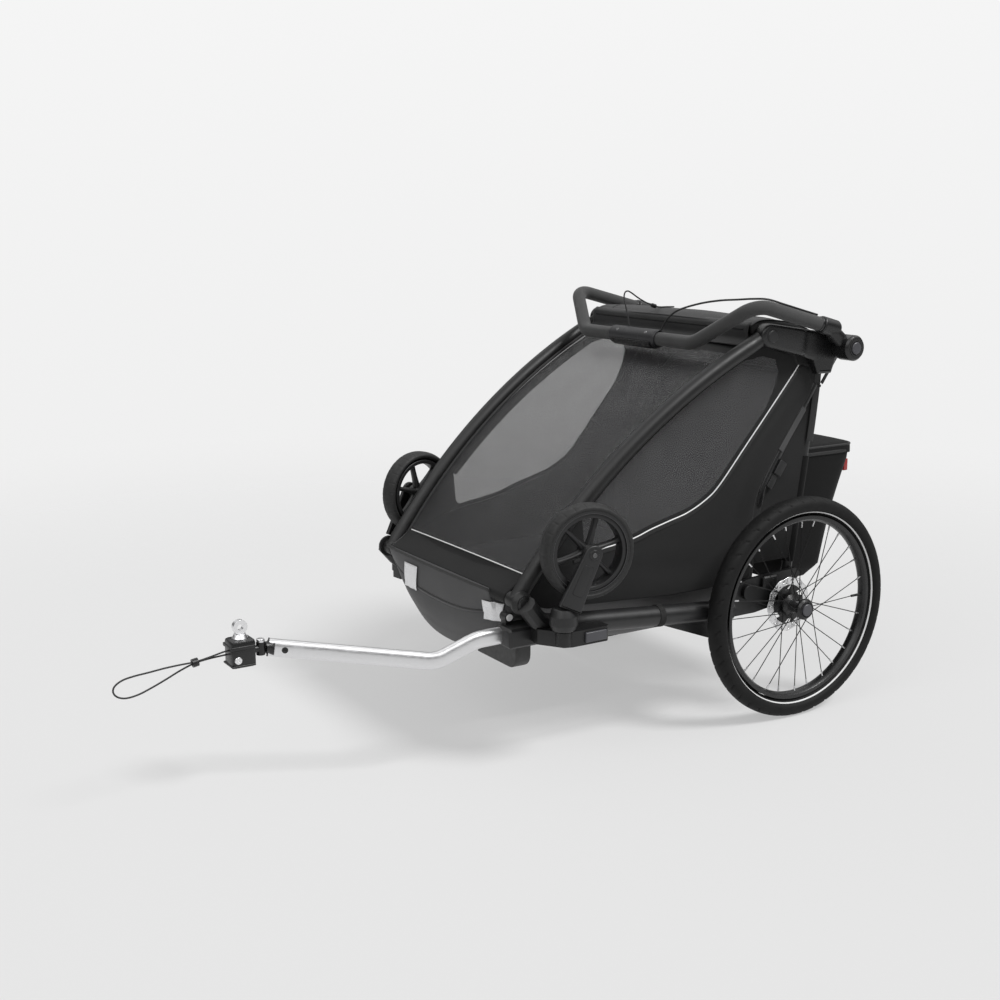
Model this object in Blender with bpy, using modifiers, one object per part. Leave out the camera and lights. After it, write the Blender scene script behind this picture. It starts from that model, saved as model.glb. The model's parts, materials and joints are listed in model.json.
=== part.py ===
"""Double bike trailer: a folding two-seat cabin on two spoked wheels, with stowed casters and a hitch arm.

Work axes: X to the trailer's left, Y to the rear of the wheel axle, Z up from the floor, in metres.
The whole model is set back at the end so that its origin is the middle of its base.
"""

import math

import bmesh
import bpy
import numpy as np
from mathutils import Matrix, Vector

# Clearances
GAP = 0.0003
SLIDE_GAP = 0.0004

# Rear wheels
TRACK = 0.700
TYRE_RADIUS = 0.2525
TYRE_WIDTH = 0.047
TYRE_HEIGHT = 0.041
RIM_DEPTH = 0.014
RIM_WIDTH = 0.026
SPOKE_COUNT = 28
SPOKE_RADIUS = 0.0012
SPOKE_SPREAD = 0.022
FLANGE_RADIUS = 0.024
HUB_RADIUS = 0.014
HUB_INNER = 0.033
HUB_OUTER = 0.031
AXLE_RADIUS = 0.006
ROTOR_RADIUS = 0.0625
ROTOR_THICKNESS = 0.002
WHEEL_BUTTON_RADIUS = 0.0125
WHEEL_BUTTON_RISE = 0.004

# Chassis
PITCH = math.radians(5.0)
SIDE_TUBE_X = 0.303
SIDE_TUBE_RADIUS = 0.021
SIDE_TUBE_FRONT_Y = -0.590
SIDE_TUBE_REAR_Y = -0.215
SIDE_TUBE_REAR_Z = 0.264
COLLAR_LENGTH = 0.055
COLLAR_RADIUS = 0.0225
PLATE_INNER_X = 0.284
PLATE_THICKNESS = 0.010
CROSS_TUBE_RADIUS = 0.016
CROSS_TUBE_Y = -0.055
CROSS_TUBE_Z = 0.262
SWING_PIVOT_Y = -0.103
SWING_PIVOT_Z = 0.290
SWING_THICKNESS = 0.0117
PIVOT_BOSS_RADIUS = 0.017

# Front corners and casters
KNOB_Y = -0.700
KNOB_Z = 0.353
KNOB_RADIUS = 0.024
FRONT_BAR_RADIUS = 0.013
BRACKET_LOW_Z = 0.268
BRACKET_HEIGHT = 0.032
BRACKET_FRONT_Y = -0.672
BRACKET_NOSE_Y = -0.676
BRACKET_REAR_Y = -0.535
BRACKET_OUTER_X = 0.366
BRACKET_CORNER_Y = -0.644
POST_BOSS_RADIUS = 0.0165
NECK_RADIUS = 0.0205
CASTER_X = 0.352
CASTER_POST_Y = -0.640
CASTER_POST_RADIUS = 0.009
CASTER_POST_DEPTH = 0.020
CASTER_FOOT_RADIUS = 0.020
CASTER_FOOT_HEIGHT = 0.040
CASTER_WHEEL_Y = -0.585
CASTER_WHEEL_Z = 0.459
CASTER_TOE = math.radians(12.0)
CASTER_TYRE_RADIUS = 0.0985
CASTER_TYRE_HEIGHT = 0.018
CASTER_TYRE_WIDTH = 0.042
CASTER_RIM_DEPTH = 0.010
CASTER_RIM_WIDTH = 0.034
CASTER_HUB_RADIUS = 0.015
CASTER_HUB_WIDTH = 0.038
CASTER_SPOKES = 6
CASTER_ARM_THICKNESS = 0.014
CASTER_ARM_WIDTH = 0.034
RELEASE_LENGTH = 0.052
RELEASE_HEIGHT = 0.021
RELEASE_RISE = 0.005

# Folding front frame
FRAME_RADIUS = 0.017
FRAME_LOW_X = 0.268
FRAME_TOP_X = 0.305
KNUCKLE_Y = -0.080
KNUCKLE_Z = 0.862
KNUCKLE_RADIUS = 0.026
FRAME_BULGE = 0.056
FRAME_CORNER = 0.050
COVER_THICKNESS = 0.003
COVER_SET_IN = 0.006
COVER_CROWN = 0.006
HANDLE_HUB_Y = 0.130
HANDLE_HUB_Z = 0.828
ARM_INNER_X = 0.2865
ARM_THICKNESS = 0.034
ARM_REAR_THICKNESS = 0.024
ARM_STEP_RADIUS = 0.096
ARM_HUB_RADIUS = 0.0275
RIDGE_Y = -0.085
RIDGE_Z = 0.899

# Cabin fabric
TUB_FRONT_Y = -0.718
TUB_REAR_Y = -0.101
TUB_TOP_Z = 0.331
TUB_BOTTOM_Z = 0.190
TUB_HALF_FRONT = 0.246
TUB_HALF_REAR = 0.2646
TUB_FLARE = 0.14
TUB_ROUND_LENGTH = 0.14
TUB_FRONT_POWER = 2.4
TUB_CORNER = 0.060
TUB_WALL = 0.004
FABRIC_THICKNESS = 0.0026
SIDE_PLANE_X = 0.2805
SIDE_PLANE_SLOPE = 0.030
BENCH_THICKNESS = 0.028
BENCH_HALF_WIDTH = 0.2137
BENCH_TOP_Z = 0.2685
BENCH_FRONT_Y = -0.416
BENCH_BACK_Y = -0.118

# Back frame, seat back and cargo bag
STRUT_X = 0.262
STRUT_RADIUS = 0.012
STRUT_FOOT_Y = 0.045
STRUT_FOOT_Z = 0.310
STRUT_TOP_Y = 0.107
STRUT_TOP_Z = 0.755
STRUT_CORNER = 0.045
FOOT_LUG_RADIUS = 0.015
SEAT_HALF_WIDTH = 0.235
SEAT_THICKNESS = 0.020
BAG_TOP_Z = 0.585
BAG_BOTTOM_Z = 0.268
BAG_FRONT_Y = 0.070
BAG_DEPTH_TOP = 0.192
BAG_DEPTH_BOTTOM = 0.130
BAG_WALL = 0.003
BAG_TAPER_X = 0.030
FLAP_THICKNESS = 0.011
FLAP_OVERHANG = 0.005

# Handlebar
BAR_X = 0.3305
BAR_RADIUS = 0.0155
BAR_CLAMP_Y = 0.050
BAR_CLAMP_Z = 0.882
BAR_BEND_Y = -0.135
BAR_BEND_Z = 0.931
BAR_CROSS_X = 0.202
BAR_CROSS_Y = -0.200
BAR_CROSS_Z = 0.843
BAR_CORNER = 0.048
CLAMP_RADIUS = 0.0193
CLAMP_LENGTH = 0.050
CLAMP_NECK_RADIUS = 0.015
BARREL_RADIUS = 0.0285
BARREL_OUTER_X = 0.3625
COLLAR_RIB_RADIUS = 0.0235
COLLAR_RIB_WIDTH = 0.011
FOLD_BUTTON_RADIUS = 0.0135
FOLD_BUTTON_RISE = 0.004
FOLD_BUTTON_DEPTH = 0.008
HOUSING_HALF_LENGTH = 0.085
HOUSING_RADIUS = 0.0205
LEVER_THICKNESS = 0.003
LEVER_HALF_LENGTH = 0.072
CABLE_RADIUS = 0.0022

# Hitch
RECEIVER_X = 0.240
RECEIVER_FRONT_Y = -0.722
RECEIVER_Z = 0.2755
RECEIVER_WIDTH = 0.038
RECEIVER_HEIGHT = 0.042
ARM_TUBE_HALF_HEIGHT = 0.0175
ARM_TUBE_HALF_WIDTH = 0.012
ARM_END_X = 0.090
ARM_END_Y = -1.150
ARM_END_Z = 0.282
ARM_CORNER = 0.070
CAP_RADIUS = 0.0165
CAP_LENGTH = 0.016
BARREL_PIN_RADIUS = 0.009
BARREL_PIN_HEIGHT = 0.026
COUPLING_PIVOT_Y = -1.180
COUPLING_Y = -1.222
COUPLING_Z = 0.286
COUPLING_LENGTH = 0.050
COUPLING_WIDTH = 0.046
COUPLING_HEIGHT = 0.056
EYE_RADIUS = 0.0145
EYE_HOLE_RADIUS = 0.0062
EYE_WIDTH = 0.011
EYE_RISE = 0.022
LEASH_RADIUS = 0.00175
LOCK_RADIUS = 0.0085
LOCK_BORE = 0.0056
LOCK_LENGTH = 0.012
BUTTON_RADIUS = 0.0075
BUTTON_RISE = 0.0015
BUTTON_DEPTH = 0.0075
BUTTON_LENGTH = 0.0045
TURRET_END_X = 0.2445
TURRET_LENGTH = 0.0225
TURRET_Y = -0.700
TURRET_Z = 0.311
TURRET_RADIUS = 0.0105
PAD_OUTER_X = 0.254
PAD_INNER_X = 0.100
PAD_CORNER = 0.028
PAD_HEIGHT = 0.056
PAD_THICKNESS = 0.037
PAD_FRONT_Y = -0.690

# Routes of the cords, chosen by hand along the photographed object
BRAKE_CABLE_ROUTE = [
    (0.0853, -0.200, 0.8617), (0.0885, -0.200, 0.8622), (0.0945, -0.197, 0.8770), (0.1060, -0.192, 0.8930),
    (0.1300, -0.184, 0.9100), (0.1800, -0.167, 0.9260), (0.2300, -0.153, 0.9350),
    (0.2750, -0.140, 0.9390), (0.3030, -0.124, 0.9415), (0.3220, -0.098, 0.9405),
    (0.3303, -0.060, 0.9296), (0.3305, -0.010, 0.9163), (0.3305, 0.040, 0.9032),
]
WRIST_STRAP_ROUTE = [
    (-0.030, -0.2000, 0.8660), (-0.031, -0.2010, 0.8800), (-0.036, -0.2040, 0.9050),
    (-0.043, -0.2050, 0.9280), (-0.047, -0.2000, 0.9400), (-0.050, -0.1900, 0.9430),
    (-0.053, -0.1760, 0.9380), (-0.055, -0.1550, 0.9260), (-0.056, -0.1300, 0.9140),
    (-0.056, -0.1080, 0.9060), (-0.056, -0.0900, 0.9024), (-0.054, -0.0700, 0.9022),
    (-0.052, -0.0500, 0.9016),
]
LEASH_ROUTE = [
    (0.0925, -1.2475, 0.2930), (0.0925, -1.2600, 0.2915), (0.0925, -1.2850, 0.2865),
    (0.0925, -1.3140, 0.2820), (0.0930, -1.3450, 0.2815), (0.0940, -1.3750, 0.2805),
    (0.0960, -1.4050, 0.2785), (0.0970, -1.4350, 0.2765), (0.0960, -1.4570, 0.2720),
    (0.0930, -1.4710, 0.2620), (0.0900, -1.4735, 0.2500), (0.0880, -1.4660, 0.2390),
    (0.0870, -1.4500, 0.2330), (0.0860, -1.4260, 0.2350), (0.0860, -1.3990, 0.2440),
    (0.0865, -1.3700, 0.2560), (0.0870, -1.3430, 0.2680), (0.0878, -1.3140, 0.2780),
    (0.0878, -1.2850, 0.2820), (0.0878, -1.2600, 0.2835), (0.0878, -1.2475, 0.2840),
]
LOCK_AT = 3

# Looks: base colour, roughness, metallic
BLACK_PLASTIC = ((0.030, 0.030, 0.032), 0.50, 0.0)
BLACK_TUBE = ((0.035, 0.035, 0.037), 0.40, 0.0)
BLACK_RUBBER = ((0.028, 0.028, 0.028), 0.75, 0.0)
BLACK_FABRIC = ((0.035, 0.035, 0.037), 0.90, 0.0)
TINTED_FILM = ((0.045, 0.045, 0.048), 0.30, 0.0)
SLATE_PLASTIC = ((0.105, 0.125, 0.155), 0.45, 0.0)
SILVER = ((0.78, 0.78, 0.80), 0.30, 1.0)
STEEL = ((0.60, 0.60, 0.62), 0.30, 1.0)
WHITE_PLASTIC = ((0.85, 0.85, 0.85), 0.40, 0.0)

MODEL = "double_bike_trailer"
LEFT, RIGHT = 1, -1
SIDE_NAMES = {LEFT: "left", RIGHT: "right"}

# Places worked out from the sizes above
WHEEL_X = TRACK / 2
RIM_OUTER_RADIUS = TYRE_RADIUS - TYRE_HEIGHT - GAP
PLATE_OUTER_X = PLATE_INNER_X + PLATE_THICKNESS
SWING_OUTER_X = PLATE_OUTER_X + GAP + SWING_THICKNESS
HUB_START_X = WHEEL_X - HUB_INNER - 0.006
CASTER_RIM_OUTER = CASTER_TYRE_RADIUS - CASTER_TYRE_HEIGHT - GAP
FLAP_Z = BAG_TOP_Z + GAP
FLAP_REAR_Y = BAG_FRONT_Y + BAG_DEPTH_TOP + FLAP_OVERHANG
BAG_HALF_WIDTH = STRUT_X - STRUT_RADIUS - 2 * GAP
FRONT_Y = COUPLING_Y - COUPLING_LENGTH / 2
REAR_Y = max(FLAP_REAR_Y, TYRE_RADIUS)
CENTRE_Y = (FRONT_Y + REAR_Y) / 2

# Moving groups: the place of each one's axis, and the group that carries it
BODIES = {
    "chassis": ((0, 0, 0), None),
    "front_frame": ((0, KNOB_Y, KNOB_Z), "chassis"),
    "back_frame": ((0, STRUT_FOOT_Y, STRUT_FOOT_Z), "chassis"),
    "bag_flap": ((0, BAG_FRONT_Y, FLAP_Z), "back_frame"),
    "handlebar": ((0, HANDLE_HUB_Y, HANDLE_HUB_Z), "front_frame"),
    "brake_lever": ((0, BAR_CROSS_Y, BAR_CROSS_Z), "handlebar"),
    "receiver_button": ((TURRET_END_X, TURRET_Y, TURRET_Z), "chassis"),
    "coupling": ((ARM_END_X, COUPLING_PIVOT_Y, COUPLING_Z), "chassis"),
    "coupling_eye": ((ARM_END_X, COUPLING_Y, COUPLING_Z), "coupling"),
}
for _side, _word in SIDE_NAMES.items():
    BODIES["swing_arm_" + _word] = ((_side * PLATE_OUTER_X, SWING_PIVOT_Y, SWING_PIVOT_Z), "chassis")
    BODIES["rear_wheel_" + _word] = ((_side * WHEEL_X, 0, TYRE_RADIUS), "swing_arm_" + _word)
    BODIES["wheel_button_" + _word] = ((_side * WHEEL_X, 0, TYRE_RADIUS), "rear_wheel_" + _word)
    BODIES["caster_" + _word] = ((_side * CASTER_X, CASTER_POST_Y, BRACKET_LOW_Z), "chassis")
    BODIES["caster_wheel_" + _word] = ((_side * CASTER_X, CASTER_WHEEL_Y, CASTER_WHEEL_Z), "caster_" + _word)
    BODIES["caster_release_" + _word] = ((_side * BRACKET_OUTER_X, BRACKET_REAR_Y, BRACKET_LOW_Z), "chassis")
    BODIES["fold_button_" + _word] = ((_side * BARREL_OUTER_X, HANDLE_HUB_Y, HANDLE_HUB_Z), "handlebar")


def clear_scene():
    for obj in list(bpy.data.objects):
        bpy.data.objects.remove(obj, do_unlink=True)


def new_collection(name, helper=False):
    collection = bpy.data.collections.new(name)
    bpy.context.scene.collection.children.link(collection)
    collection.hide_render = helper
    return collection


def body_empties(collection):
    """One empty on each moving group's axis, all under one empty that sets the whole trailer back."""
    whole = bpy.data.objects.new("trailer_origin", None)
    whole.location = (0, -CENTRE_Y, 0)
    collection.objects.link(whole)
    empties = {None: whole}
    for name, (place, carrier) in BODIES.items():
        empty = bpy.data.objects.new("axis_" + name, None)
        empty.location = place
        collection.objects.link(empty)
        empty.parent = empties[carrier]
        if carrier:
            empty.matrix_parent_inverse = Matrix.Translation(-Vector(BODIES[carrier][0]))
        empties[name] = empty
    return empties


def ride(obj, body):
    """Carry an object, placed in the work axes, on a moving group."""
    obj.parent = EMPTIES[body]
    obj.matrix_parent_inverse = Matrix.Translation(-Vector(BODIES[body][0]))


def finish(obj, look):
    colour, roughness, metallic = look
    material = bpy.data.materials.new(obj.name)
    material.use_nodes = True
    shader = material.node_tree.nodes["Principled BSDF"]
    shader.inputs["Base Color"].default_value = (*colour, 1)
    shader.inputs["Roughness"].default_value = roughness
    shader.inputs["Metallic"].default_value = metallic
    obj.data.materials.clear()
    obj.data.materials.append(material)


def node(obj, body, look):
    """Make an object one sub-part of the trailer."""
    PARTS.objects.link(obj)
    ride(obj, body)
    finish(obj, look)
    if obj.type == "MESH":
        obj.data.shade_smooth()
        obj.data.set_sharp_from_angle(angle=math.radians(35))
    for helper in [m.object for m in obj.modifiers if m.type == "BOOLEAN"]:
        ride(helper, body)
    return obj


def helper(obj):
    """Keep an object as an operand of a Boolean only."""
    CUTTERS.objects.link(obj)
    obj.hide_render = True
    obj.display_type = "WIRE"
    return obj


def combine(base, others, operation):
    for other in others:
        boolean = base.modifiers.new(operation.title(), "BOOLEAN")
        boolean.operation = operation
        boolean.solver = "EXACT"
        boolean.object = helper(other)
    return base


def join(base, *others):
    return combine(base, others, "UNION")


def cut(base, *others):
    return combine(base, others, "DIFFERENCE")


def mesh_object(name, bm):
    mesh = bpy.data.meshes.new(name)
    bmesh.ops.recalc_face_normals(bm, faces=bm.faces)
    bm.to_mesh(mesh)
    bm.free()
    return bpy.data.objects.new(name, mesh)


def block(name, low, high, bevel=0.0, segments=2):
    """A box between two corners, with rounded edges."""
    bm = bmesh.new()
    size = Vector(high) - Vector(low)
    middle = (Vector(high) + Vector(low)) / 2
    bmesh.ops.create_cube(bm, size=1, matrix=Matrix.Translation(middle) @ Matrix.Diagonal((*size, 1)))
    obj = mesh_object(name, bm)
    if bevel:
        rounding = obj.modifiers.new("Round", "BEVEL")
        rounding.width = bevel
        rounding.segments = segments
    return obj


def rod(name, start, end, radius, segments=16, end_radius=None):
    """A straight round bar, or a cone when it has an end radius."""
    start, end = Vector(start), Vector(end)
    along = end - start
    turn = along.to_track_quat("Z", "Y").to_matrix().to_4x4()
    bm = bmesh.new()
    bmesh.ops.create_cone(
        bm, cap_ends=True, segments=segments, radius1=radius,
        radius2=radius if end_radius is None else end_radius, depth=along.length,
        matrix=Matrix.Translation((start + end) / 2) @ turn,
    )
    return mesh_object(name, bm)


def turned(name, profile, place, side=LEFT, steps=32, toe=0.0):
    """A profile of (radius, offset) points turned about an axis along X; offsets grow outwards."""
    closed = profile[0][0] > 0 and profile[-1][0] > 0
    points = [(radius, 0, offset) for radius, offset in profile]
    edges = [(i, i + 1) for i in range(len(points) - 1)]
    if closed:
        edges.append((len(points) - 1, 0))
    mesh = bpy.data.meshes.new(name)
    mesh.from_pydata(points, edges, [])
    obj = bpy.data.objects.new(name, mesh)
    screw = obj.modifiers.new("Turn", "SCREW")
    screw.steps = steps
    screw.render_steps = steps
    screw.use_merge_vertices = True
    screw.merge_threshold = 0.00001
    screw.use_smooth_shade = True
    obj.rotation_euler = (0, side * math.pi / 2, -side * toe)
    obj.location = place
    return obj


def slab(name, outline, x_low, x_high, turn=0.0):
    """A flat outline of (y, z) points, given its thickness along X."""
    curve = bpy.data.curves.new(name, "CURVE")
    curve.dimensions = "2D"
    curve.fill_mode = "BOTH"
    curve.extrude = (x_high - x_low) / 2
    spline = curve.splines.new("POLY")
    spline.points.add(len(outline) - 1)
    for point, (y, z) in zip(spline.points, outline):
        point.co = (y, z, 0, 1)
    spline.use_cyclic_u = True
    obj = bpy.data.objects.new(name, curve)
    obj.rotation_euler = (math.pi / 2, 0, math.pi / 2 + turn)
    obj.location = ((x_low + x_high) / 2, 0, 0)
    return obj


def pipe(name, points, radius, resolution=3, section=None):
    """A tube along points, with filled ends; section makes it oval as (half width, half height)."""
    curve = bpy.data.curves.new(name, "CURVE")
    curve.dimensions = "3D"
    curve.use_fill_caps = True
    if section:
        curve.bevel_mode = "OBJECT"
        curve.bevel_object = oval(name + "_section", *section)
    else:
        curve.bevel_depth = radius
        curve.bevel_resolution = resolution
    spline = curve.splines.new("POLY")
    spline.points.add(len(points) - 1)
    for point, place in zip(spline.points, points):
        point.co = (*place, 1)
    return bpy.data.objects.new(name, curve)


def oval(name, half_width, half_height, sides=16):
    curve = bpy.data.curves.new(name, "CURVE")
    curve.dimensions = "2D"
    curve.fill_mode = "NONE"
    spline = curve.splines.new("POLY")
    spline.points.add(sides - 1)
    for i, point in enumerate(spline.points):
        angle = 2 * math.pi * i / sides
        point.co = (half_width * math.cos(angle), half_height * math.sin(angle), 0, 1)
    spline.use_cyclic_u = True
    return helper(bpy.data.objects.new(name, curve))


def meshed(obj):
    """Turn a curve object into a closed mesh, so that it can be cut or joined."""
    bpy.context.scene.collection.objects.link(obj)
    graph = bpy.context.evaluated_depsgraph_get()
    mesh = bpy.data.meshes.new_from_object(obj.evaluated_get(graph))
    bm = bmesh.new()
    bm.from_mesh(mesh)
    bmesh.ops.remove_doubles(bm, verts=bm.verts, dist=0.00001)
    bmesh.ops.recalc_face_normals(bm, faces=bm.faces)
    bm.to_mesh(mesh)
    bm.free()
    made = bpy.data.objects.new(obj.name + "_solid", mesh)
    made.matrix_world = obj.matrix_world.copy()
    name = obj.name
    bpy.data.objects.remove(obj, do_unlink=True)
    made.name = name
    return made


def rounded(corners, radius, steps=5):
    """A polyline whose inner corners are arcs of the given bend radius."""
    corners = [Vector(c) for c in corners]
    route = [corners[0]]
    for before, corner, after in zip(corners, corners[1:], corners[2:]):
        towards_before = (before - corner).normalized()
        towards_after = (after - corner).normalized()
        half = towards_before.angle(towards_after) / 2
        reach = min(radius / math.tan(half), 0.48 * (before - corner).length, 0.48 * (after - corner).length)
        bend = reach * math.tan(half)
        middle = (towards_before + towards_after).normalized()
        centre = corner + middle * (bend / math.sin(half))
        start = corner + towards_before * reach - centre
        end = corner + towards_after * reach - centre
        for i in range(steps + 1):
            share = i / steps
            sweep = start.angle(end)
            mix = (math.sin((1 - share) * sweep) * start + math.sin(share * sweep) * end) / math.sin(sweep)
            route.append(centre + mix)
    route.append(corners[-1])
    return route


def smooth_route(points, spacing):
    """Points read along a smooth curve through the given ones, about one every spacing."""
    points = [Vector(p) for p in points]
    ends = [2 * points[0] - points[1]] + points + [2 * points[-1] - points[-2]]
    route = []
    for before, start, end, after in zip(ends, ends[1:], ends[2:], ends[3:]):
        count = max(1, round((end - start).length / spacing))
        for i in range(count):
            t = i / count
            route.append(
                0.5 * (2 * start + (end - before) * t + (2 * before - 5 * start + 4 * end - after) * t ** 2
                       + (3 * start - before - 3 * end + after) * t ** 3)
            )
    route.append(points[-1])
    return route


def arc(centre, radius, start, end, steps):
    """Points of an arc in a plane, angles in degrees, counted from the first axis to the second."""
    angles = np.radians(np.linspace(start, end, steps + 1))
    return [(centre[0] + radius * math.cos(a), centre[1] + radius * math.sin(a)) for a in angles]


def tube_height(y):
    """Height of a side tube's axis: the chassis is nose-up by PITCH."""
    return SIDE_TUBE_REAR_Z + (SIDE_TUBE_REAR_Y - y) * math.tan(PITCH)


def frame_point(share):
    """A point (y, z) of the front frame's bowed upright, from the knob (0) to the knuckle (1)."""
    low = Vector((KNOB_Y, KNOB_Z))
    chord = Vector((KNUCKLE_Y, KNUCKLE_Z)) - low
    across = Vector((-chord.y, chord.x)).normalized()
    return low + chord * share + across * (4 * FRAME_BULGE * share * (1 - share))


def frame_x(share):
    return FRAME_LOW_X + (FRAME_TOP_X - FRAME_LOW_X) * share


# Chassis


def side_tube(side):
    front = (side * SIDE_TUBE_X, SIDE_TUBE_FRONT_Y + GAP, tube_height(SIDE_TUBE_FRONT_Y))
    rear = (side * SIDE_TUBE_X, SIDE_TUBE_REAR_Y, tube_height(SIDE_TUBE_REAR_Y))
    node(rod("side_tube_" + SIDE_NAMES[side], front, rear, SIDE_TUBE_RADIUS, 20), "chassis", BLACK_TUBE)


def rear_corner(side):
    """The casting behind a side tube: collar, suspension plate, skid wedge and the seat strut's lug."""
    name = "rear_corner_" + SIDE_NAMES[side]
    start_y = SIDE_TUBE_REAR_Y + GAP
    end_y = start_y + COLLAR_LENGTH
    low_z = tube_height(end_y) - COLLAR_RADIUS
    outline = [
        (start_y + 0.012, low_z + 0.006), (start_y + 0.012, tube_height(start_y) + 0.018),
        (SWING_PIVOT_Y - 0.020, SWING_PIVOT_Z + 0.020), (SWING_PIVOT_Y, SWING_PIVOT_Z + 0.027),
        (STRUT_FOOT_Y, STRUT_FOOT_Z + FOOT_LUG_RADIUS), (STRUT_FOOT_Y + FOOT_LUG_RADIUS, STRUT_FOOT_Z),
        (STRUT_FOOT_Y, STRUT_FOOT_Z - FOOT_LUG_RADIUS), (CROSS_TUBE_Y + 0.03, CROSS_TUBE_Z - 0.018),
        (CROSS_TUBE_Y - 0.02, CROSS_TUBE_Z - 0.025), (end_y, low_z),
    ]
    inner, outer = sorted((side * PLATE_INNER_X, side * PLATE_OUTER_X))
    plate = meshed(slab(name, outline, inner, outer))
    collar = rod(
        name + "_collar", (side * SIDE_TUBE_X, start_y, tube_height(start_y)),
        (side * SIDE_TUBE_X, end_y, tube_height(end_y)), COLLAR_RADIUS, 20,
    )
    lug = rod(
        name + "_lug", (side * (STRUT_X + STRUT_RADIUS + GAP), STRUT_FOOT_Y, STRUT_FOOT_Z),
        (side * (PLATE_INNER_X + 0.002), STRUT_FOOT_Y, STRUT_FOOT_Z), FOOT_LUG_RADIUS - 0.002,
    )
    skid_low, skid_high = sorted((side * 0.262, side * (SIDE_TUBE_X + 0.004)))
    skid = meshed(slab(
        name + "_skid",
        [(-0.350, tube_height(-0.350) - 0.0215), (-0.200, 0.197), (-0.180, 0.199),
         (-0.172, tube_height(-0.172) - 0.012), (-0.205, tube_height(-0.205) - 0.012),
         (-0.216, tube_height(-0.216) - 0.0215)],
        skid_low, skid_high,
    ))
    node(join(plate, collar, lug, skid), "chassis", BLACK_PLASTIC)


def cross_tube():
    reach = PLATE_INNER_X - GAP
    obj = rod("cross_tube", (-reach, CROSS_TUBE_Y, CROSS_TUBE_Z), (reach, CROSS_TUBE_Y, CROSS_TUBE_Z),
              CROSS_TUBE_RADIUS, 16)
    node(obj, "chassis", BLACK_TUBE)


def front_corner(side):
    """The caster bracket with its post bore and release pocket, the neck that rises from it, and the knob."""
    name = "front_corner_" + SIDE_NAMES[side]
    inner_x = SIDE_TUBE_X - SIDE_TUBE_RADIUS
    top_z = BRACKET_LOW_Z + BRACKET_HEIGHT
    bm = bmesh.new()
    plan = [
        (inner_x, BRACKET_FRONT_Y), (inner_x + 0.030, BRACKET_NOSE_Y),
        (BRACKET_OUTER_X - 0.006, BRACKET_CORNER_Y), (BRACKET_OUTER_X, BRACKET_CORNER_Y + 0.018),
        (BRACKET_OUTER_X, BRACKET_REAR_Y - 0.006), (BRACKET_OUTER_X - 0.006, BRACKET_REAR_Y),
        (inner_x, BRACKET_REAR_Y),
    ]
    floor = bm.faces.new([bm.verts.new((side * x, y, BRACKET_LOW_Z)) for x, y in plan])
    raised = bmesh.ops.extrude_face_region(bm, geom=[floor])["geom"]
    bmesh.ops.translate(bm, verts=[v for v in raised if isinstance(v, bmesh.types.BMVert)],
                        vec=(0, 0, BRACKET_HEIGHT))
    bracket = mesh_object(name, bm)
    tube_end = Vector((side * SIDE_TUBE_X, SIDE_TUBE_FRONT_Y, tube_height(SIDE_TUBE_FRONT_Y)))
    neck_route = rounded([
        tube_end, (side * (SIDE_TUBE_X - 0.006), -0.662, tube_height(-0.662) + 0.004),
        (side * (FRAME_LOW_X + FRAME_RADIUS + GAP + NECK_RADIUS), KNOB_Y, KNOB_Z),
    ], 0.05, 4)
    neck = meshed(pipe(name + "_neck", neck_route, NECK_RADIUS, 3))
    knob_x = FRAME_LOW_X + FRAME_RADIUS + GAP
    knob = turned(
        name + "_knob",
        [(0, 0.016), (KNOB_RADIUS * 0.7, 0.014), (KNOB_RADIUS, 0.006), (KNOB_RADIUS, 0), (0, 0)],
        (side * knob_x, KNOB_Y, KNOB_Z), side, 20,
    )
    room = rod(name + "_room", (side * (knob_x - 0.05), KNOB_Y, KNOB_Z), (side * knob_x, KNOB_Y, KNOB_Z),
               0.040, 24)
    tube_room = rod(
        name + "_tube_room", tube_end, (side * SIDE_TUBE_X, BRACKET_REAR_Y + 0.02, tube_height(BRACKET_REAR_Y + 0.02)),
        SIDE_TUBE_RADIUS + GAP, 20,
    )
    post_room = rod(
        name + "_post_room", (side * CASTER_X, CASTER_POST_Y, top_z - CASTER_POST_DEPTH - GAP),
        (side * CASTER_X, CASTER_POST_Y, top_z + 0.01), CASTER_POST_RADIUS + SLIDE_GAP, 16,
    )
    low, high = release_box(side, SLIDE_GAP)
    pocket = block(name + "_pocket", low, high)
    post_boss = rod(name + "_post_boss", (side * CASTER_X, CASTER_POST_Y, BRACKET_LOW_Z + 0.004),
                    (side * CASTER_X, CASTER_POST_Y, top_z), POST_BOSS_RADIUS, 20)
    obj = join(bracket, neck, knob, post_boss)
    cut(obj, room, tube_room, post_room, pocket)
    node(obj, "chassis", BLACK_PLASTIC)


def release_box(side, margin):
    """Corners of the caster release button, grown by a margin; its pocket is deeper than its travel."""
    depth = RELEASE_RISE * 2 + margin
    inner = BRACKET_OUTER_X - depth
    outer = BRACKET_OUTER_X + (0.02 if margin else RELEASE_RISE)
    low_z = BRACKET_LOW_Z + (BRACKET_HEIGHT - RELEASE_HEIGHT) / 2 - margin
    y_end = BRACKET_REAR_Y - 0.010 + margin
    y_start = y_end - RELEASE_LENGTH - 2 * margin
    inner += 0 if margin else 0.005
    x_low, x_high = sorted((side * inner, side * outer))
    return (x_low, y_start, low_z), (x_high, y_end, low_z + RELEASE_HEIGHT + 2 * margin)


def caster_release(side):
    low, high = release_box(side, 0)
    obj = block("caster_release_" + SIDE_NAMES[side], low, high, 0.0015, 1)
    node(obj, "caster_release_" + SIDE_NAMES[side], SLATE_PLASTIC)


def front_bar():
    reach = FRAME_LOW_X - FRAME_RADIUS - GAP
    obj = rod("front_bar", (-reach, KNOB_Y, KNOB_Z), (reach, KNOB_Y, KNOB_Z), FRONT_BAR_RADIUS, 16)
    node(obj, "chassis", BLACK_TUBE)


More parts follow.
